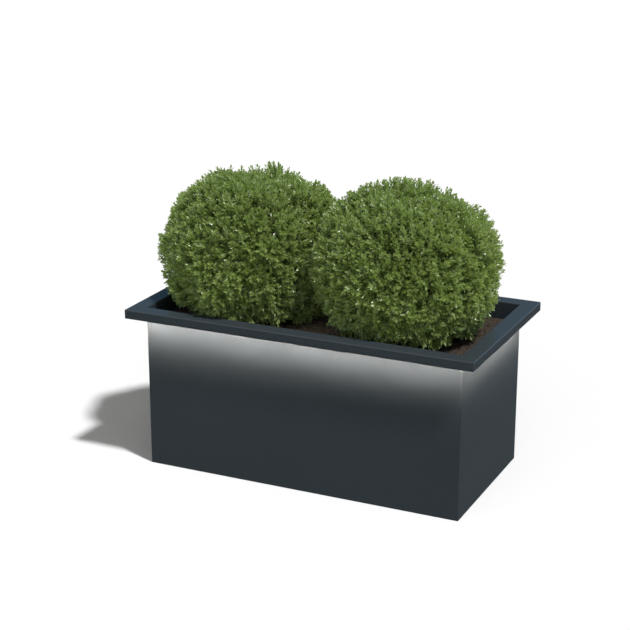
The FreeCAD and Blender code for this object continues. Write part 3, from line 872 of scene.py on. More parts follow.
def clod_template() -> tuple[np.ndarray, np.ndarray]:
    """A twenty-sided clod of radius one.

    Returns:
        Its points and triangles.
    """
    gold = (1.0 + math.sqrt(5.0)) / 2.0
    points = []
    for a in (-1.0, 1.0):
        for b in (-gold, gold):
            points += [(0.0, a, b), (a, b, 0.0), (b, 0.0, a)]
    points = unit(np.array(points))
    edge = np.min([np.linalg.norm(points[0] - p) for p in points[1:]]) * 1.01
    near = np.linalg.norm(points[:, None] - points[None], axis=-1) < edge
    faces = []
    for a in range(len(points)):
        for b in range(a + 1, len(points)):
            for c in range(b + 1, len(points)):
                if near[a, b] and near[b, c] and near[a, c]:
                    outward = np.dot(np.cross(points[b] - points[a], points[c] - points[a]), points[a]) > 0
                    faces.append((a, b, c) if outward else (a, c, b))
    return points, np.array(faces)


@dataclass(frozen=True)
class Clods:
    """Rough, flattened clods of earth, more of them small than large."""

    usual: float
    most: float
    size_log_mean: float = -0.35
    size_log_spread: float = 0.45
    roughness: float = 0.28
    length_shares: Span = (0.7, 1.4)
    width_shares: Span = (0.7, 1.2)
    height_share: float = 0.7

    def radii(self, rng: np.random.Generator, count: int) -> np.ndarray:
        """Mean radius of each of so many clods."""
        sizes = rng.lognormal(self.size_log_mean, self.size_log_spread, count)
        return np.minimum(self.usual * sizes, self.most)

    def scatter(
        self, made: MeshBin, places: np.ndarray, radii: np.ndarray, rng: np.random.Generator
    ) -> None:
        """Adds clods at places.

        Args:
            made: where they go.
            places: centres.
            radii: mean radius of each.
            rng: source of their shapes.
        """
        shape, faces = clod_template()
        count = len(places)
        rough = 1.0 + self.roughness * rng.standard_normal((count, len(shape), 1))
        length = rng.uniform(*self.length_shares, count)
        width = rng.uniform(*self.width_shares, count)
        stretch = np.stack((length, width, np.full(count, self.height_share)), -1)
        local = shape[None] * rough * stretch[:, None] * radii[:, None, None]
        turn = rng.uniform(0.0, ROUND, count)
        x = local[..., 0] * np.cos(turn)[:, None] - local[..., 1] * np.sin(turn)[:, None]
        y = local[..., 0] * np.sin(turn)[:, None] + local[..., 1] * np.cos(turn)[:, None]
        points = np.stack((x, y, local[..., 2]), -1) + places[:, None]
        made.add(points, copied(faces, count, len(shape)))


def corners(node: str) -> tuple[np.ndarray, np.ndarray]:
    """Lowest and highest corner of a node's box at rest."""
    low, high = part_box(node)
    return np.array(low), np.array(high)


def nodes_starting(*starts: str) -> list[str]:
    """Names of the frame's nodes that start with any of some words."""
    return sorted(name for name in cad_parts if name.startswith(starts))


def dress(names: Sequence[str], material: bpy.types.Material) -> None:
    """Gives nodes of the frame a finish.

    Args:
        names: the nodes.
        material: their finish.
    """
    for name in names:
        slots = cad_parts[name].data.materials
        slots.clear()
        slots.append(material)
        log.info("dressed %s in %s", name, material.name)


def settle(piece: bpy.types.Object, body: str, node: str) -> None:
    """Ties a new piece to the model.

    Args:
        piece: the piece.
        body: what it moves with.
        node: the solid that it shows.
    """
    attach(piece, body)
    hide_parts(node)
    log.info("%s with %d faces", piece.name, len(piece.data.polygons))


@dataclass
class FoldedBody:
    """Walls with their rims, and what stands inside and under them."""

    coat: PowderCoat = PowderCoat("anthracite_coat", (0.039, 0.050, 0.058), 0.5, 0.004, 0.22, 0.75)
    primer: PowderCoat = PowderCoat("dark_primer", (0.05, 0.053, 0.056), 0.75, 0.2)
    zinc: ZincPlate = ZincPlate("zinc_plate", (0.62, 0.63, 0.64))
    pad_plastic: MouldedPlastic = MouldedPlastic("foot_plastic", (0.022, 0.022, 0.024))
    drain_plastic: MouldedPlastic = MouldedPlastic("drain_plastic", (0.03, 0.031, 0.032))

    def dress(self) -> None:
        """Dresses the walls, the base, the feet and the drains."""
        dress(nodes_starting("front_panel", "back_panel", "left_end", "right_end"), self.coat.build())
        dress(nodes_starting("base_", "tie_bar", "foot_gusset"), self.primer.build())
        dress(nodes_starting("foot_stud", "foot_nuts", "driver_studs", "driver_nuts"), self.zinc.build())
        dress(nodes_starting("foot_pad"), self.pad_plastic.build())
        dress(nodes_starting("drain", "lead_conduit", "conduit_clips"), self.drain_plastic.build())


@dataclass
class RimLights:
    """Light channels under the rim with their feed."""

    channel: Anodised = Anodised("channel_aluminium", (0.55, 0.56, 0.57))
    tape: MouldedPlastic = MouldedPlastic("tape_board", (0.72, 0.71, 0.66), 0.5)
    opal: OpalGlow = OpalGlow("opal_diffuser", (0.85, 0.86, 0.87), (1.0, 0.80, 0.675), 520.0)
    cap: MouldedPlastic = MouldedPlastic("cap_plastic", (0.2, 0.2, 0.21))
    rubber: MouldedPlastic = MouldedPlastic("lead_rubber", (0.018, 0.018, 0.019), 0.7)
    case: MouldedPlastic = MouldedPlastic("driver_case", (0.6, 0.6, 0.58), 0.45)
    gland: MouldedPlastic = MouldedPlastic("gland_plastic", (0.025, 0.026, 0.027), 0.5)

    def dress(self) -> None:
        """Dresses the channels, tapes, diffusers, leads, driver and gland."""
        dress(nodes_starting("light_channel"), self.channel.build())
        dress(nodes_starting("light_tape"), self.tape.build())
        dress(nodes_starting("light_diffuser"), self.opal.build())
        dress(nodes_starting("channel_end_caps"), self.cap.build())
        dress(nodes_starting("lighting_lead", "wall_grommet", "corner_links"), self.rubber.build())
        dress(nodes_starting("light_driver"), self.case.build())
        dress(nodes_starting("cable_gland", "gland_locknut"), self.gland.build())


@dataclass
class SoilBed:
    """Crumbly soil from wall to wall, with a pocket for each root ball.

    Each lump is a width in metres, an offset that gives its own pattern, and a share of the relief.
    """

    earth: bpy.types.Material
    seed: int = 11
    spokes: int = 300
    hoops: int = 44
    relief: float = 0.004
    relief_share: float = 0.8
    lumps: tuple[tuple[float, float, float], ...] = ((0.07, 0.0, 1.0), (0.024, 3.1, 0.5), (0.009, 7.7, 0.25))
    pocket_gap: float = 0.0006
    pocket_rings: int = 14
    pocket_relief: float = 0.004
    pocket_lump: float = 0.02
    clod_count: int = 5200
    clods: Clods = Clods(usual=0.0032, most=0.0064)
    clod_rise_share: float = 0.2
    wall_gap: float = 0.003

    def __post_init__(self) -> None:
        """Reads the soil's box and the root balls' places."""
        self.low, self.high = corners("soil")
        self.rng = np.random.default_rng(self.seed)
        self.pockets = []
        for side in Side:
            low, high = corners(side.value + "_root_ball")
            self.pockets.append(((low + high) / 2.0, (high[1] - low[1]) / 2.0, low[2]))
        self.split = float(np.mean([pocket[0][0] for pocket in self.pockets]))

    def level(self, x: np.ndarray, y: np.ndarray) -> np.ndarray:
        """Height of the soil's surface.

        Args:
            x: places along the planter.
            y: places across it.

        Returns:
            One height for each place.
        """
        flat = np.stack((x, y, np.zeros_like(x)), -1)
        wave = sum(share * cloud(flat, size, shift) for size, shift, share in self.lumps)
        return self.high[2] - self.relief + self.relief_share * self.relief * wave

    def half(self, made: MeshBin, index: int) -> None:
        """Adds the surface round one root ball, its pocket and the bed's outer sides.

        Args:
            made: where it goes.
            index: which root ball.
        """
        middle, radius, foot = self.pockets[index]
        west = self.low[0] if index == 0 else self.split
        east = self.split if index == 0 else self.high[0]
        turn = turns(self.spokes)
        ray = np.stack((np.cos(turn), np.sin(turn)), -1)
        slant = np.maximum(np.abs(ray), TINY)
        reach_x = np.where(ray[:, 0] > 0, east - middle[0], middle[0] - west) / slant[:, 0]
        reach = np.minimum(reach_x, self.high[1] / slant[:, 1])
        mouth = radius + self.pocket_gap
        rows = []
        for share in np.linspace(1.0, 0.0, self.hoops):
            far = mouth + (reach - mouth) * share
            x = middle[0] + ray[:, 0] * far
            y = ray[:, 1] * far
            rows.append(np.stack((x, y, self.level(x, y)), -1))
        skirt = rows[0].copy()
        skirt[:, 2] = self.low[2]
        rows.insert(0, skirt)
        top = rows[-1]
        for share in np.linspace(0.0, 1.0, self.pocket_rings)[1:]:
            z = top[:, 2] + (foot - self.pocket_gap - top[:, 2]) * share
            wall = np.stack((middle[0] + ray[:, 0] * mouth, ray[:, 1] * mouth, z), -1)
            dent = self.pocket_relief * np.abs(cloud(wall, self.pocket_lump, 5.0))
            wall[:, :2] += ray * (dent * math.sin(math.pi * min(share, 0.5)))[:, None]
            rows.append(wall)
        points = np.concatenate(rows)
        centre = np.array([[middle[0], 0.0, foot - self.pocket_gap]])
        last = len(points) - self.spokes
        side = np.arange(self.spokes)
        hub = np.full(self.spokes, len(points))
        floor = np.stack((last + side, last + (side + 1) % self.spokes, hub), -1)
        faces = np.concatenate((ring_faces(len(rows), self.spokes), floor))
        made.add(np.concatenate((points, centre)), faces)

    def crumbs(self, made: MeshBin) -> None:
        """Adds loose clods on the surface, clear of the walls and the pockets.

        Args:
            made: where they go.
        """
        edge = self.wall_gap + self.clods.most
        x = self.rng.uniform(self.low[0] + edge, self.high[0] - edge, self.clod_count)
        y = self.rng.uniform(self.low[1] + edge, self.high[1] - edge, self.clod_count)
        radii = self.clods.radii(self.rng, self.clod_count)
        keep = np.ones(self.clod_count, bool)
        for middle, radius, _ in self.pockets:
            keep &= np.hypot(x - middle[0], y) > radius + 2.0 * radii
        x, y, radii = x[keep], y[keep], radii[keep]
        places = np.stack((x, y, self.level(x, y) + self.clod_rise_share * radii), -1)
        self.clods.scatter(made, places, radii, self.rng)

    def build(self) -> None:
        """Makes the bed."""
        made = MeshBin()
        for index in range(len(self.pockets)):
            self.half(made, index)
        self.crumbs(made)
        settle(made.piece("soil_bed", self.earth, smooth=False), "planter", "soil")


@dataclass
class RootBall:
    """Earth held by roots, shaped by the pot that it grew in."""

    side: Side
    earth: bpy.types.Material
    root_bark: bpy.types.Material
    seed: int = 31
    spokes: int = 160
    rings: int = 40
    top_rings: int = 14
    first_share: float = 0.02
    foot_share: float = 0.75
    top_drop: float = 0.0035
    top_inset: float = 0.002
    top_relief: float = 0.0025
    top_lump: float = 0.02
    wall_inset: float = 0.003
    wall_relief: float = 0.005
    wall_lumps: Span = (0.03, 0.009)
    fine_share: float = 0.4
    deepest_dent: float = 1.2
    foot_gap: float = 0.002
    foot_rise: float = 0.004
    crumb_count: int = 1100
    crumbs: Clods = Clods(usual=0.0032, most=0.006)
    crumb_area_share: float = 0.94
    crumb_rise_share: float = 0.3
    roots: int = 70
    root_radius: float = 0.0011
    root_sides: int = 5
    root_steps: int = 26
    root_inset: float = 0.0025
    root_margin: float = 0.008
    root_heights: Span = (0.03, 0.98)
    root_sizes: Span = (0.5, 1.2)
    root_taper: Span = (1.0, 0.45)
    root_drift: float = 0.9
    root_wobble: float = 0.05

    def __post_init__(self) -> None:
        """Reads the root ball's box."""
        self.low, self.high = corners(self.side.value + "_root_ball")
        self.middle = (self.low + self.high) / 2.0
        self.radius = (self.high[1] - self.low[1]) / 2.0
        self.top = self.high[2] - self.top_drop
        self.rng = np.random.default_rng(self.seed + self.side.sign)

    def wall_radius(self, z: Union[float, np.ndarray]) -> Union[float, np.ndarray]:
        """Radius of the pot's wall at a height."""
        share = (z - self.low[2]) / (self.high[2] - self.low[2])
        return self.radius * (self.foot_share + (1.0 - self.foot_share) * share)

    def ball(self, made: MeshBin) -> None:
        """Adds the rough earth, closed at its top and foot.

        Args:
            made: where it goes.
        """
        turn = turns(self.spokes)
        ray = np.stack((np.cos(turn), np.sin(turn), np.zeros_like(turn)), -1)
        axis = self.middle * LEVEL
        coarse, fine = self.wall_lumps
        rows = []
        for share in np.linspace(self.first_share, 1.0, self.top_rings):
            row = axis + ray * (self.radius - self.top_inset) * share + self.top * UP
            row[:, 2] += self.top_relief * cloud(row, self.top_lump, 2.0)
            rows.append(row)
        for share in np.linspace(self.first_share, 1.0, self.rings):
            z = self.top - (self.top - self.low[2] - self.foot_gap) * share
            row = axis + ray * (self.wall_radius(z) - self.wall_inset) + z * UP
            wave = 0.5 + cloud(row, coarse, 4.0) + self.fine_share * cloud(row, fine, 9.0)
            dent = self.wall_relief * np.clip(wave, 0.0, self.deepest_dent)
            rows.append(row - ray * dent[:, None])
        points = np.concatenate(rows)
        count = len(points)
        side = np.arange(self.spokes)
        following = (side + 1) % self.spokes
        last = count - self.spokes
        lid = np.stack((np.full(self.spokes, count), side, following), -1)
        bottom = np.stack((last + following, last + side, np.full(self.spokes, count + 1)), -1)
        faces = np.concatenate((ring_faces(len(rows), self.spokes)[:, ::-1], lid, bottom))
        hubs = [axis + self.top * UP, axis + (self.low[2] + self.foot_rise) * UP]
        made.add(np.concatenate((points, hubs)), faces)

    def loose(self, made: MeshBin) -> None:
        """Adds crumbs on the top.

        Args:
            made: where they go.
        """
        far = self.radius * np.sqrt(self.rng.uniform(0.0, self.crumb_area_share, self.crumb_count))
        turn = self.rng.uniform(0.0, ROUND, self.crumb_count)
        radii = self.crumbs.radii(self.rng, self.crumb_count)
        keep = far + 2.0 * radii < self.radius
        z = self.top + self.crumb_rise_share * radii
        places = np.stack((self.middle[0] + far * np.cos(turn), far * np.sin(turn), z), -1)
        self.crumbs.scatter(made, places[keep], radii[keep], self.rng)

    def strands(self, made: MeshBin) -> None:
        """Adds roots that wind over the ball's side.

        Args:
            made: where they go.
        """
        along = np.linspace(0.0, 1.0, self.root_steps)
        taper = np.linspace(*self.root_taper, self.root_steps)
        height = self.high[2] - self.low[2] - 2.0 * self.root_margin
        for _ in range(self.roots):
            start = self.rng.uniform(0.0, ROUND)
            drift = self.rng.normal(0.0, self.root_drift)
            wobble = np.cumsum(self.rng.normal(0.0, self.root_wobble, self.root_steps))
            turn = start + drift * along + wobble
            first, last = sorted(self.rng.uniform(*self.root_heights, 2))
            z = self.high[2] - self.root_margin - height * np.linspace(first, last, self.root_steps)
            far = self.wall_radius(z) - self.root_inset
            line = np.stack((self.middle[0] + far * np.cos(turn), far * np.sin(turn), z), -1)
            radii = self.root_radius * self.rng.uniform(*self.root_sizes) * taper
            made.add(*tapered_tube(line, radii, self.root_sides))

    def build(self) -> None:
        """Makes the ball and its roots."""
        word = self.side.value
        earth = MeshBin()
        self.ball(earth)
        self.loose(earth)
        roots = MeshBin()
        self.strands(roots)
        ball = earth.piece(word + "_root_earth", self.earth, smooth=False)
        for piece in (ball, roots.piece(word + "_roots", self.root_bark)):
            settle(piece, word + "_shrub", word + "_root_ball")


@dataclass
class Shrub:
    """Clipped box shrub: shoots with paired leaves over a twiggy middle."""

    side: Side
    leaf_skin: bpy.types.Material
    bark: bpy.types.Material
    seed: int = 51
    widening: float = 0.032
    least_tilt: float = 0.3
    crown_area: float = 0.7
    whole_ball_share: float = 1.2
    site_turn_scatter: float = 0.04
    site_scatter: float = 0.02
    leaf_reach: float = 0.0125
    sprays: int = 100
    shoots: int = 2900
    deep_shoots: int = 1700
    face_shoots: int = 480
    pairs: int = 7
    node_pitch: float = 0.0085
    tip_gap: float = 0.003
    stalk: float = 0.0008
    leaf_length: float = 0.0172
    leaf_width_share: float = 0.48
    leaf_length_scatter: float = 0.08
    new_leaf_share: float = 0.66
    leaf_growth_share: float = 0.34
    leaf_growth_rate: float = 3.0
    leaf_lift: float = 0.3
    leaf_lean: float = 0.22
    splay_first: float = 16.0
    splay_gain: float = 36.0
    splay_power: float = 0.6
    splay_scatter: float = 0.14
    turn_scatter: float = 0.25
    vigour_scatter: float = 0.09
    new_tint: float = 0.62
    tint_fade: float = 0.2
    # Painted shade: how much darker the leaves of deep shoots are tinted.
    deep_painted_shade: float = 0.06
    shoot_tint_scatter: float = 0.13
    leaf_tint_scatter: float = 0.1
    spray_length: float = 0.11
    spray_dome: float = 0.011
    spray_rise: float = -0.005
    spray_scatter: float = 0.015
    spray_sizes: Span = (0.8, 1.25)
    dome_limit: float = 1.6
    head_lift: float = 0.15
    head_lean: float = 0.16
    spray_lift: float = 0.12
    spray_lean: float = 0.14
    tip_scatter: float = 0.005
    tip_limit: float = 0.012
    leader_share: float = 0.09
    leader_rise: float = 0.013
    leader_tilt: float = -0.1
    shoot_lift: float = 0.22
    least_outward: float = 0.6
    outward_pull: float = 1.3
    deep_layer: float = 0.014
    deep_scatter: float = 0.008
    deep_lean: float = 0.5
    face_layer: float = 0.016
    face_lean: float = 0.35
    ground_gap: float = 0.003
    shoot_gap: float = 0.012
    wall_gap: float = 0.002
    side_gap: float = 0.004
    neighbour_gap: float = 0.0015
    weave: float = 0.014
    weave_pitch: float = 0.12
    twig_radius: float = 0.0011
    twig_tail: float = 0.012
    twig_sides: int = 3
    twig_taper: tuple[Span, ...] = ((1.0, 1.0), (0.5, 0.8), (0.06, 0.35))
    limbs: int = 90
    limb_radii: Span = (0.0042, 0.0011)
    limb_heights: Span = (0.02, 0.13)
    limb_bend_share: float = 0.55
    limb_sag: float = 0.03
    limb_pull: float = 0.02
    limb_steps: int = 9
    limb_sides: int = 6

    def __post_init__(self) -> None:
        """Reads the crown's box, the planter's mouth and the neighbour's side."""
        low, high = corners(self.side.value + "_crown")
        spread = (high[1] - low[1]) / 2.0
        middle_x = low[0] + spread if self.side is Side.LEFT else high[0] - spread
        self.centre = np.array((middle_x, 0.0, high[2] - (spread - self.widening)))
        self.reach = spread - self.widening + self.leaf_reach
        self.meeting = high[0] if self.side is Side.LEFT else low[0]
        soil_top = corners("soil")[1]
        self.ground = soil_top[2]
        self.mouth = soil_top[:2] - self.wall_gap
        self.rim_top = corners("front_panel")[1][2]
        self.rng = np.random.default_rng(self.seed + self.side.sign)

    def skin_point(self, normal: np.ndarray) -> np.ndarray:
        """Points of the crown's surface.

        Args:
            normal: outward directions.

        Returns:
            One point for each direction.
        """
        level = normal * LEVEL
        tilt = np.linalg.norm(level, axis=-1, keepdims=True)
        return self.centre + self.widening * level / np.maximum(tilt, self.least_tilt) + self.reach * normal

    def outer_sites(self, count: int) -> tuple[np.ndarray, np.ndarray]:
        """Evenly spread places on the crown above the ground and on its own side.

        Args:
            count: about how many.

        Returns:
            Places and outward directions.
        """
        total = int(count * self.whole_ball_share)
        step = np.arange(total) + 0.5
        z = 1.0 - 2.0 * step / total
        turn = step * math.pi * (3.0 - math.sqrt(5.0))
        turn = turn + self.rng.normal(0.0, self.site_turn_scatter, total)
        flat = np.sqrt(1.0 - z**2)
        normal = np.stack((flat * np.cos(turn), flat * np.sin(turn), z), -1)
        normal = unit(normal + self.rng.normal(0.0, self.site_scatter, normal.shape))
        place = self.skin_point(normal)
        own = (self.meeting - place[:, 0]) * -self.side.sign > self.side_gap
        keep = own & (place[:, 2] > self.ground + self.shoot_gap)
        return place[keep], normal[keep]

    def face_sites(self) -> tuple[np.ndarray, np.ndarray]:
        """Places on the flat side that meets the neighbour.

        Returns:
            Places and outward directions.
        """
        gap = abs(self.meeting - self.centre[0])
        radius = math.sqrt(max((self.reach + self.widening) ** 2 - gap**2, 0.0))
        far = radius * np.sqrt(self.rng.uniform(0.0, 1.0, self.face_shoots))
        turn = self.rng.uniform(0.0, ROUND, self.face_shoots)
        z = self.centre[2] + far * np.sin(turn)
        place = np.stack((np.full_like(far, self.meeting), far * np.cos(turn), z), -1)
        keep = z > self.ground + self.shoot_gap
        normal = np.tile((-float(self.side.sign), 0.0, 0.0), (len(far), 1))
        return place[keep], normal[keep]

    def shoot_axes(self, normal: np.ndarray, lean: float) -> np.ndarray:
        """Directions in which shoots grow: outward, a little upward, and uneven.

        Args:
            normal: outward directions.
            lean: how uneven.

        Returns:
            One direction for each shoot.
        """
        axes = unit(normal + self.shoot_lift * UP + lean * self.rng.standard_normal(normal.shape))
        short = np.maximum(self.least_outward - np.sum(axes * normal, -1, keepdims=True), 0.0)
        return unit(axes + self.outward_pull * short * normal)

    def spray_shoots(self, place: np.ndarray, normal: np.ndarray) -> tuple[np.ndarray, np.ndarray]:
        """Gathers shoots into domed sprays that fan out from their own branch ends.

        Args:
            place: places on the crown's surface.
            normal: outward directions there.

        Returns:
            Tips and directions of the shoots.
        """
        heads, head_normal = self.outer_sites(self.sprays)
        spacing = np.linalg.norm(place[:, None] - heads[None], axis=-1)
        spacing *= self.rng.uniform(*self.spray_sizes, len(heads))
        own = np.argmin(spacing, axis=1)
        radius = math.sqrt(self.crown_area / len(heads) / math.pi)
        lean = head_normal + self.head_lift * UP + self.head_lean * self.rng.standard_normal(heads.shape)
        root = heads - self.spray_length * unit(lean)
        rise = self.rng.normal(self.spray_rise, self.spray_scatter, len(heads))
        away = np.linalg.norm(place - heads[own], axis=-1) / radius
        lift = rise[own] - self.spray_dome * np.minimum(away, self.dome_limit) ** 2
        lift += self.rng.normal(0.0, self.tip_scatter, len(place))
        leading = self.rng.uniform(0.0, 1.0, len(place)) < self.leader_share
        lift += self.leader_rise * (leading & (normal[:, 2] > self.leader_tilt))
        uneven_lean = self.spray_lean * self.rng.standard_normal(place.shape)
        axes = unit(unit(place - root[own]) + self.spray_lift * UP + uneven_lean)
        return place + normal * np.minimum(lift, self.tip_limit)[:, None], axes

    def leaves_of(self, tips: np.ndarray, axes: np.ndarray, age: np.ndarray) -> dict[str, np.ndarray]:
        """Places, directions and sizes of the leaves on shoots.

        Args:
            tips: ends of the shoots.
            axes: directions of the shoots.
            age: 0 for an outer shoot and 1 for a deep one; deep leaves are tinted darker as painted shade.

        Returns:
            Arrays by name, with one row for each leaf.
        """
        first, second = across(axes)
        count = len(tips)
        start = self.rng.uniform(0.0, ROUND, count)
        vigour = self.rng.normal(1.0, self.vigour_scatter, count)
        fresh = self.rng.normal(0.0, self.shoot_tint_scatter, count)
        made: dict[str, list[np.ndarray]] = {"base": [], "along": [], "face": [], "length": [], "tint": []}
        for pair in range(self.pairs):
            share = pair / (self.pairs - 1)
            base = tips - axes * (self.tip_gap + pair * self.node_pitch)
            spread = np.radians(self.splay_first + self.splay_gain * share**self.splay_power)
            grown = self.new_leaf_share + self.leaf_growth_share * min(1.0, share * self.leaf_growth_rate)
            for half in (0.0, math.pi):
                splay = spread + self.rng.normal(0.0, self.splay_scatter, count)
                turn = start + pair * math.pi / 2.0 + half
                turn = turn + self.rng.normal(0.0, self.turn_scatter, count)
                out = np.cos(turn)[:, None] * first + np.sin(turn)[:, None] * second
                along = np.cos(splay)[:, None] * axes + np.sin(splay)[:, None] * out
                face = axes + self.leaf_lift * UP + self.leaf_lean * self.rng.standard_normal(axes.shape)
                face = unit(face - np.sum(face * along, -1, keepdims=True) * along)
                size = self.leaf_length * grown * vigour
                made["base"].append(base + self.stalk * out)
                made["along"].append(along)
                made["face"].append(face)
                made["length"].append(size * self.rng.normal(1.0, self.leaf_length_scatter, count))
                # Leaves further back on a shoot are older and darker; leaves of deep shoots are tinted
                # darker as painted shade.
                tint = self.new_tint - self.tint_fade * share - self.deep_painted_shade * age + fresh
                tint = tint + self.rng.normal(0.0, self.leaf_tint_scatter, count)
                made["tint"].append(np.clip(tint, 0.0, 1.0))
        return {name: np.concatenate(rows) for name, rows in made.items()}

    def kept_clear(self, points: np.ndarray) -> np.ndarray:
        """Points drawn in from the soil, the walls and the neighbour.

        Args:
            points: rows of x, y, z.

        Returns:
            The same rows, moved where they came too near.
        """
        points[..., 2] = np.maximum(points[..., 2], self.ground + self.ground_gap)
        low = points[..., 2] < self.rim_top + self.wall_gap
        for axis in (0, 1):
            held = np.clip(points[..., axis], -self.mouth[axis], self.mouth[axis])
            points[..., axis] = np.where(low, held, points[..., axis])
        wave = self.weave * np.sin(points[..., 1] * ROUND / self.weave_pitch)
        edge = self.meeting + self.side.sign * self.neighbour_gap + wave
        limit = np.minimum if self.side is Side.LEFT else np.maximum
        points[..., 0] = limit(points[..., 0], edge)
        return points

    def leaf_mesh(self, leaves: Mapping[str, np.ndarray], chosen: np.ndarray) -> tuple[MeshBin, np.ndarray]:
        """Folded oval leaves with a midrib.

        Args:
            leaves: arrays from leaves_of.
            chosen: which of them.

        Returns:
            Points and triangles, and each point's place in a grid with one cell for each leaf.
        """
        base, along, face = (leaves[key][chosen][:, None] for key in ("base", "along", "face"))
        points = base + leaves["length"][chosen][:, None, None] * (
            LEAF_ALONG[None, :, None] * along
            + self.leaf_width_share * LEAF_ASIDE[None, :, None] * np.cross(along, face)
            + LEAF_LIFT[None, :, None] * face
        )
        count = len(chosen)
        size = len(LEAF_RIB)
        made = MeshBin()
        made.add(
            self.kept_clear(points),
            copied(LEAF_FACES, count, size),
            tint=np.repeat(leaves["tint"][chosen], size),
            rib=np.tile(LEAF_RIB, count),
        )
        cells = math.ceil(math.sqrt(count))
        index = np.arange(count)
        corner = np.stack((index % cells, index // cells), -1)[:, None]
        inside = np.stack((0.5 + 0.8 * LEAF_ASIDE, 0.1 + 0.8 * LEAF_ALONG), -1)[None]
        return made, ((corner + inside) / cells).reshape(-1, 2)

    def storey(self, name: Storey, leaves: Mapping[str, np.ndarray], chosen: np.ndarray) -> bpy.types.Object:
        """Makes the leaves of one storey, laid out in a grid for baking.

        Args:
            name: which storey.
            leaves: arrays from leaves_of.
            chosen: which of them.

        Returns:
            The new piece.
        """
        made, grid = self.leaf_mesh(leaves, np.sort(chosen))
        piece = made.piece(f"{self.side.value}_leaves_{name.value}", self.leaf_skin, smooth=False)
        layer = piece.data.uv_layers.new(name="OFBake")
        points = np.zeros(len(piece.data.loops), np.int32)
        piece.data.loops.foreach_get("vertex_index", points)
        layer.data.foreach_set("uv", grid[points].astype(np.float32).ravel())
        return piece

    def twigs(self, tips: np.ndarray, axes: np.ndarray) -> MeshBin:
        """Thin stems of the shoots, and limbs that carry them from the trunk.

        Args:
            tips: ends of the shoots.
            axes: directions of the shoots.

        Returns:
            Their points and triangles.
        """
        made = MeshBin()
        back = self.pairs * self.node_pitch + self.twig_tail
        spokes = wheels(axes, self.twig_sides)
        rings = []
        for share, radius in self.twig_taper:
            rings.append((tips - axes * back * share)[:, None] + self.twig_radius * radius * spokes)
        points = np.concatenate(rings, axis=1)
        faces = ring_faces(len(rings), self.twig_sides)
        made.add(self.kept_clear(points), copied(faces, len(tips), len(rings) * self.twig_sides))
        picked = self.rng.choice(len(tips), self.limbs, replace=False)
        radii = np.linspace(*self.limb_radii, self.limb_steps)
        share = np.linspace(0.0, 1.0, self.limb_steps)[:, None]
        for end, axis in zip(tips[picked] - back * axes[picked], axes[picked]):
            height = self.rng.uniform(*self.limb_heights)
            start = np.array((self.centre[0], 0.0, self.ground + height))
            bend = start + self.limb_bend_share * (end - start) - self.limb_sag * UP - self.limb_pull * axis
            line = (1 - share) ** 2 * start + 2 * share * (1 - share) * bend + share**2 * end
            made.add(*tapered_tube(self.kept_clear(line), radii, self.limb_sides))
        return made

    def grow(self) -> tuple[np.ndarray, np.ndarray, np.ndarray]:
        """Outer shoots, deep shoots that fill the gaps between them, and those that face the neighbour.

        Returns:
            Tips, directions and shade depths of the shoots; the depths tint deep leaves darker as painted
            shade.
        """
        place, normal = self.outer_sites(self.shoots)
        tips, axes = self.spray_shoots(place, normal)
        deep_place, deep_normal = self.outer_sites(self.deep_shoots)
        depth = self.deep_layer + self.rng.normal(0.0, self.deep_scatter, (len(deep_place), 1))
        deep_axes = self.shoot_axes(deep_normal, self.deep_lean)
        face_place, face_normal = self.face_sites()
        face_depth = self.rng.uniform(0.0, self.face_layer, (len(face_place), 1))
        face_axes = self.shoot_axes(face_normal, self.face_lean)
        deep_tips = deep_place - deep_normal * depth
        face_tips = face_place - face_normal * face_depth
        # Shade depth: 0 outer, 1 deep, 0.5 facing the neighbour; it tints deep leaves darker as painted
        # shade.
        shade_depths = (np.zeros(len(place)), np.ones(len(deep_place)), np.full(len(face_place), 0.5))
        return (
            np.concatenate((tips, deep_tips, face_tips)),
            np.concatenate((axes, deep_axes, face_axes)),
            np.concatenate(shade_depths),
        )

    def build(self) -> None:
        """Makes the leaves and twigs."""
        tips, axes, age = self.grow()
        leaves = self.leaves_of(tips, axes, age)
        order = np.argsort(-leaves["base"][:, 2], kind="stable")
        word = self.side.value
        for name, chosen in zip(Storey, np.array_split(order, len(Storey))):
            settle(self.storey(name, leaves, chosen), word + "_shrub", word + "_crown")
        twigs = self.twigs(tips, axes).piece(word + "_twigs", self.bark)
        settle(twigs, word + "_shrub", word + "_crown")


@dataclass
class Planting:
    """Soil, root balls and shrubs."""

    # The soil's last colour is painted light, for the shaded band between the shrubs.
    soil: Earth = Earth("potting_soil", (0.066, 0.05, 0.037), (0.092, 0.065, 0.047), 0.0, (0.4, 0.315, 0.24))
    root_earth: Earth = Earth("root_earth", (0.03, 0.021, 0.015), (0.085, 0.06, 0.042), 0.5)
    root_bark: Bark = Bark("root_bark", (0.16, 0.11, 0.07), (0.34, 0.26, 0.18))
    bark: Bark = Bark("box_bark", (0.11, 0.09, 0.065), (0.26, 0.23, 0.18))
    leaf: LeafSkin = LeafSkin(
        "box_leaf", (0.245, 0.345, 0.092), (0.31, 0.42, 0.118), (0.375, 0.49, 0.16), (0.46, 0.53, 0.24)
    )

    def build(self) -> None:
        """Makes and dresses the planting."""
        root_earth = self.root_earth.build()
        root_bark = self.root_bark.build()
        bark = self.bark.build()
        leaf = self.leaf.build()
        dress(nodes_starting("left_stems", "right_stems"), bark)
        SoilBed(self.soil.build()).build()
        for side in Side:
            RootBall(side, root_earth, root_bark).build()
            Shrub(side, leaf, bark).build()


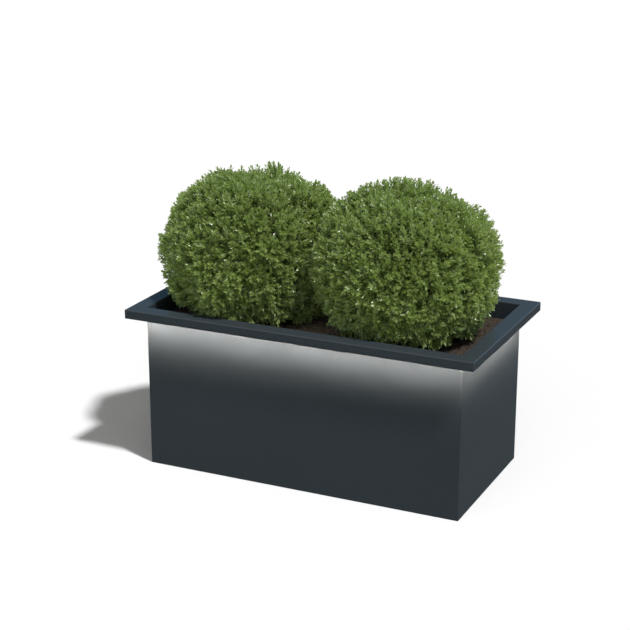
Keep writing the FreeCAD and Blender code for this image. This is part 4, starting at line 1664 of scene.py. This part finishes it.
@dataclass
class Studio:
    """Floor, light and camera."""

    floor_half: float = 60.0
    floor: FloorPaint = FloorPaint("pale_floor", (0.98, 0.98, 0.98), (0.45, 0.45, 0.45))
    sun_to: Place = (0.472, -0.182, 0.862)
    sun_strength: float = 2.95
    sun_angle: float = math.radians(4.5)
    horizon: Colour = (1.0, 1.0, 1.0)
    low_sky: Colour = (0.18, 0.41, 0.7)
    high_sky: Colour = (0.74, 0.75, 0.74)
    sky_turn: Span = (0.45, 0.75)
    fill: Colour = (0.11, 0.11, 0.11)
    window: Colour = (0.92, 0.91, 0.89)
    window_to: Place = (0.24, -0.97, -0.02)
    window_edge: Span = (0.15, 1.0)
    camera_at: Place = (1.91288, -4.23638, 2.00381)
    camera_yaw: float = math.radians(-25.007)
    camera_pitch: float = math.radians(18.255)
    lens: float = 93.4857
    sensor: float = 36.0
    far_clip: float = 300.0

    def lay_floor(self) -> bpy.types.Object:
        """Lays the floor.

        Returns:
            The floor.
        """
        square = np.array(((-1, -1, 0), (1, -1, 0), (1, 1, 0), (-1, 1, 0)))
        made = MeshBin()
        made.add(self.floor_half * square, [(0, 1, 2), (0, 2, 3)])
        floor = made.piece("pale_floor", self.floor.build(), smooth=False)
        return floor

    def hang_sky(self) -> None:
        """Sets a white backdrop, a cool sky for mirrors and a broad soft window."""
        world = bpy.data.worlds.new("soft_sky")
        bpy.context.scene.world = world
        bench = Bench(world)
        direction = bench.node("ShaderNodeTexCoord", output="Generated")
        low, high = self.sky_turn
        stops = ((0.0, self.low_sky), (low, self.low_sky), (high, self.high_sky), (1.0, self.high_sky))
        dome = bench.node("ShaderNodeValToRGB", {"stops": stops}, {0: bench.part(direction, "Z")})
        dome = bench.mix(bench.node("ShaderNodeLightPath", output="Is Camera Ray"), dome, self.horizon)
        toward = bench.vector("DOT_PRODUCT", direction, self.window_to, "Value")
        scattered = bench.mix(toward.between(*self.window_edge), self.fill, self.window)
        colour = bench.mix(bench.seen_directly(), scattered, dome)
        shine = bench.node("ShaderNodeBackground", None, {"Color": colour, "Strength": 1.0})
        bench.end(shine, "ShaderNodeOutputWorld")

    def hang_sun(self) -> None:
        """Hangs one large, soft sun."""
        lamp = bpy.data.lights.new("soft_sun", "SUN")
        lamp.energy = self.sun_strength
        lamp.angle = self.sun_angle
        sun = bpy.data.objects.new("soft_sun", lamp)
        sun.rotation_mode = "QUATERNION"
        sun.rotation_quaternion = Vector(self.sun_to).to_track_quat("Z", "Y")
        bpy.context.scene.collection.objects.link(sun)

    def place_camera(self) -> None:
        """Places the camera."""
        lens = bpy.data.cameras.new("camera")
        lens.lens = self.lens
        lens.sensor_width = self.sensor
        lens.clip_end = self.far_clip
        camera = bpy.data.objects.new("camera", lens)
        camera.location = self.camera_at
        camera.rotation_euler = (math.pi / 2.0 - self.camera_pitch, 0.0, -self.camera_yaw)
        bpy.context.scene.collection.objects.link(camera)
        bpy.context.scene.camera = camera

    @staticmethod
    def shade_floor(floor: bpy.types.Object) -> None:
        """Keeps the rim lights' own glow off the floor, so that the object's shadow stays plain.

        Args:
            floor: the floor.
        """
        lit = bpy.data.collections.new("lit_by_rim")
        lit.objects.link(floor)
        lit.collection_objects[0].light_linking.link_state = "EXCLUDE"
        for name in nodes_starting("light_diffuser"):
            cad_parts[name].light_linking.receiver_collection = lit

    def build(self) -> None:
        """Sets up the studio."""
        self.shade_floor(self.lay_floor())
        self.hang_sky()
        self.hang_sun()
        self.place_camera()
        bpy.context.scene.view_settings.view_transform = "Standard"


def main() -> None:
    """Builds the planter's looks in order."""
    logging.basicConfig(level=logging.INFO, format="%(name)s: %(message)s")
    FoldedBody().dress()
    RimLights().dress()
    Planting().build()
    Studio().build()


if __name__ == "__main__":
    main()
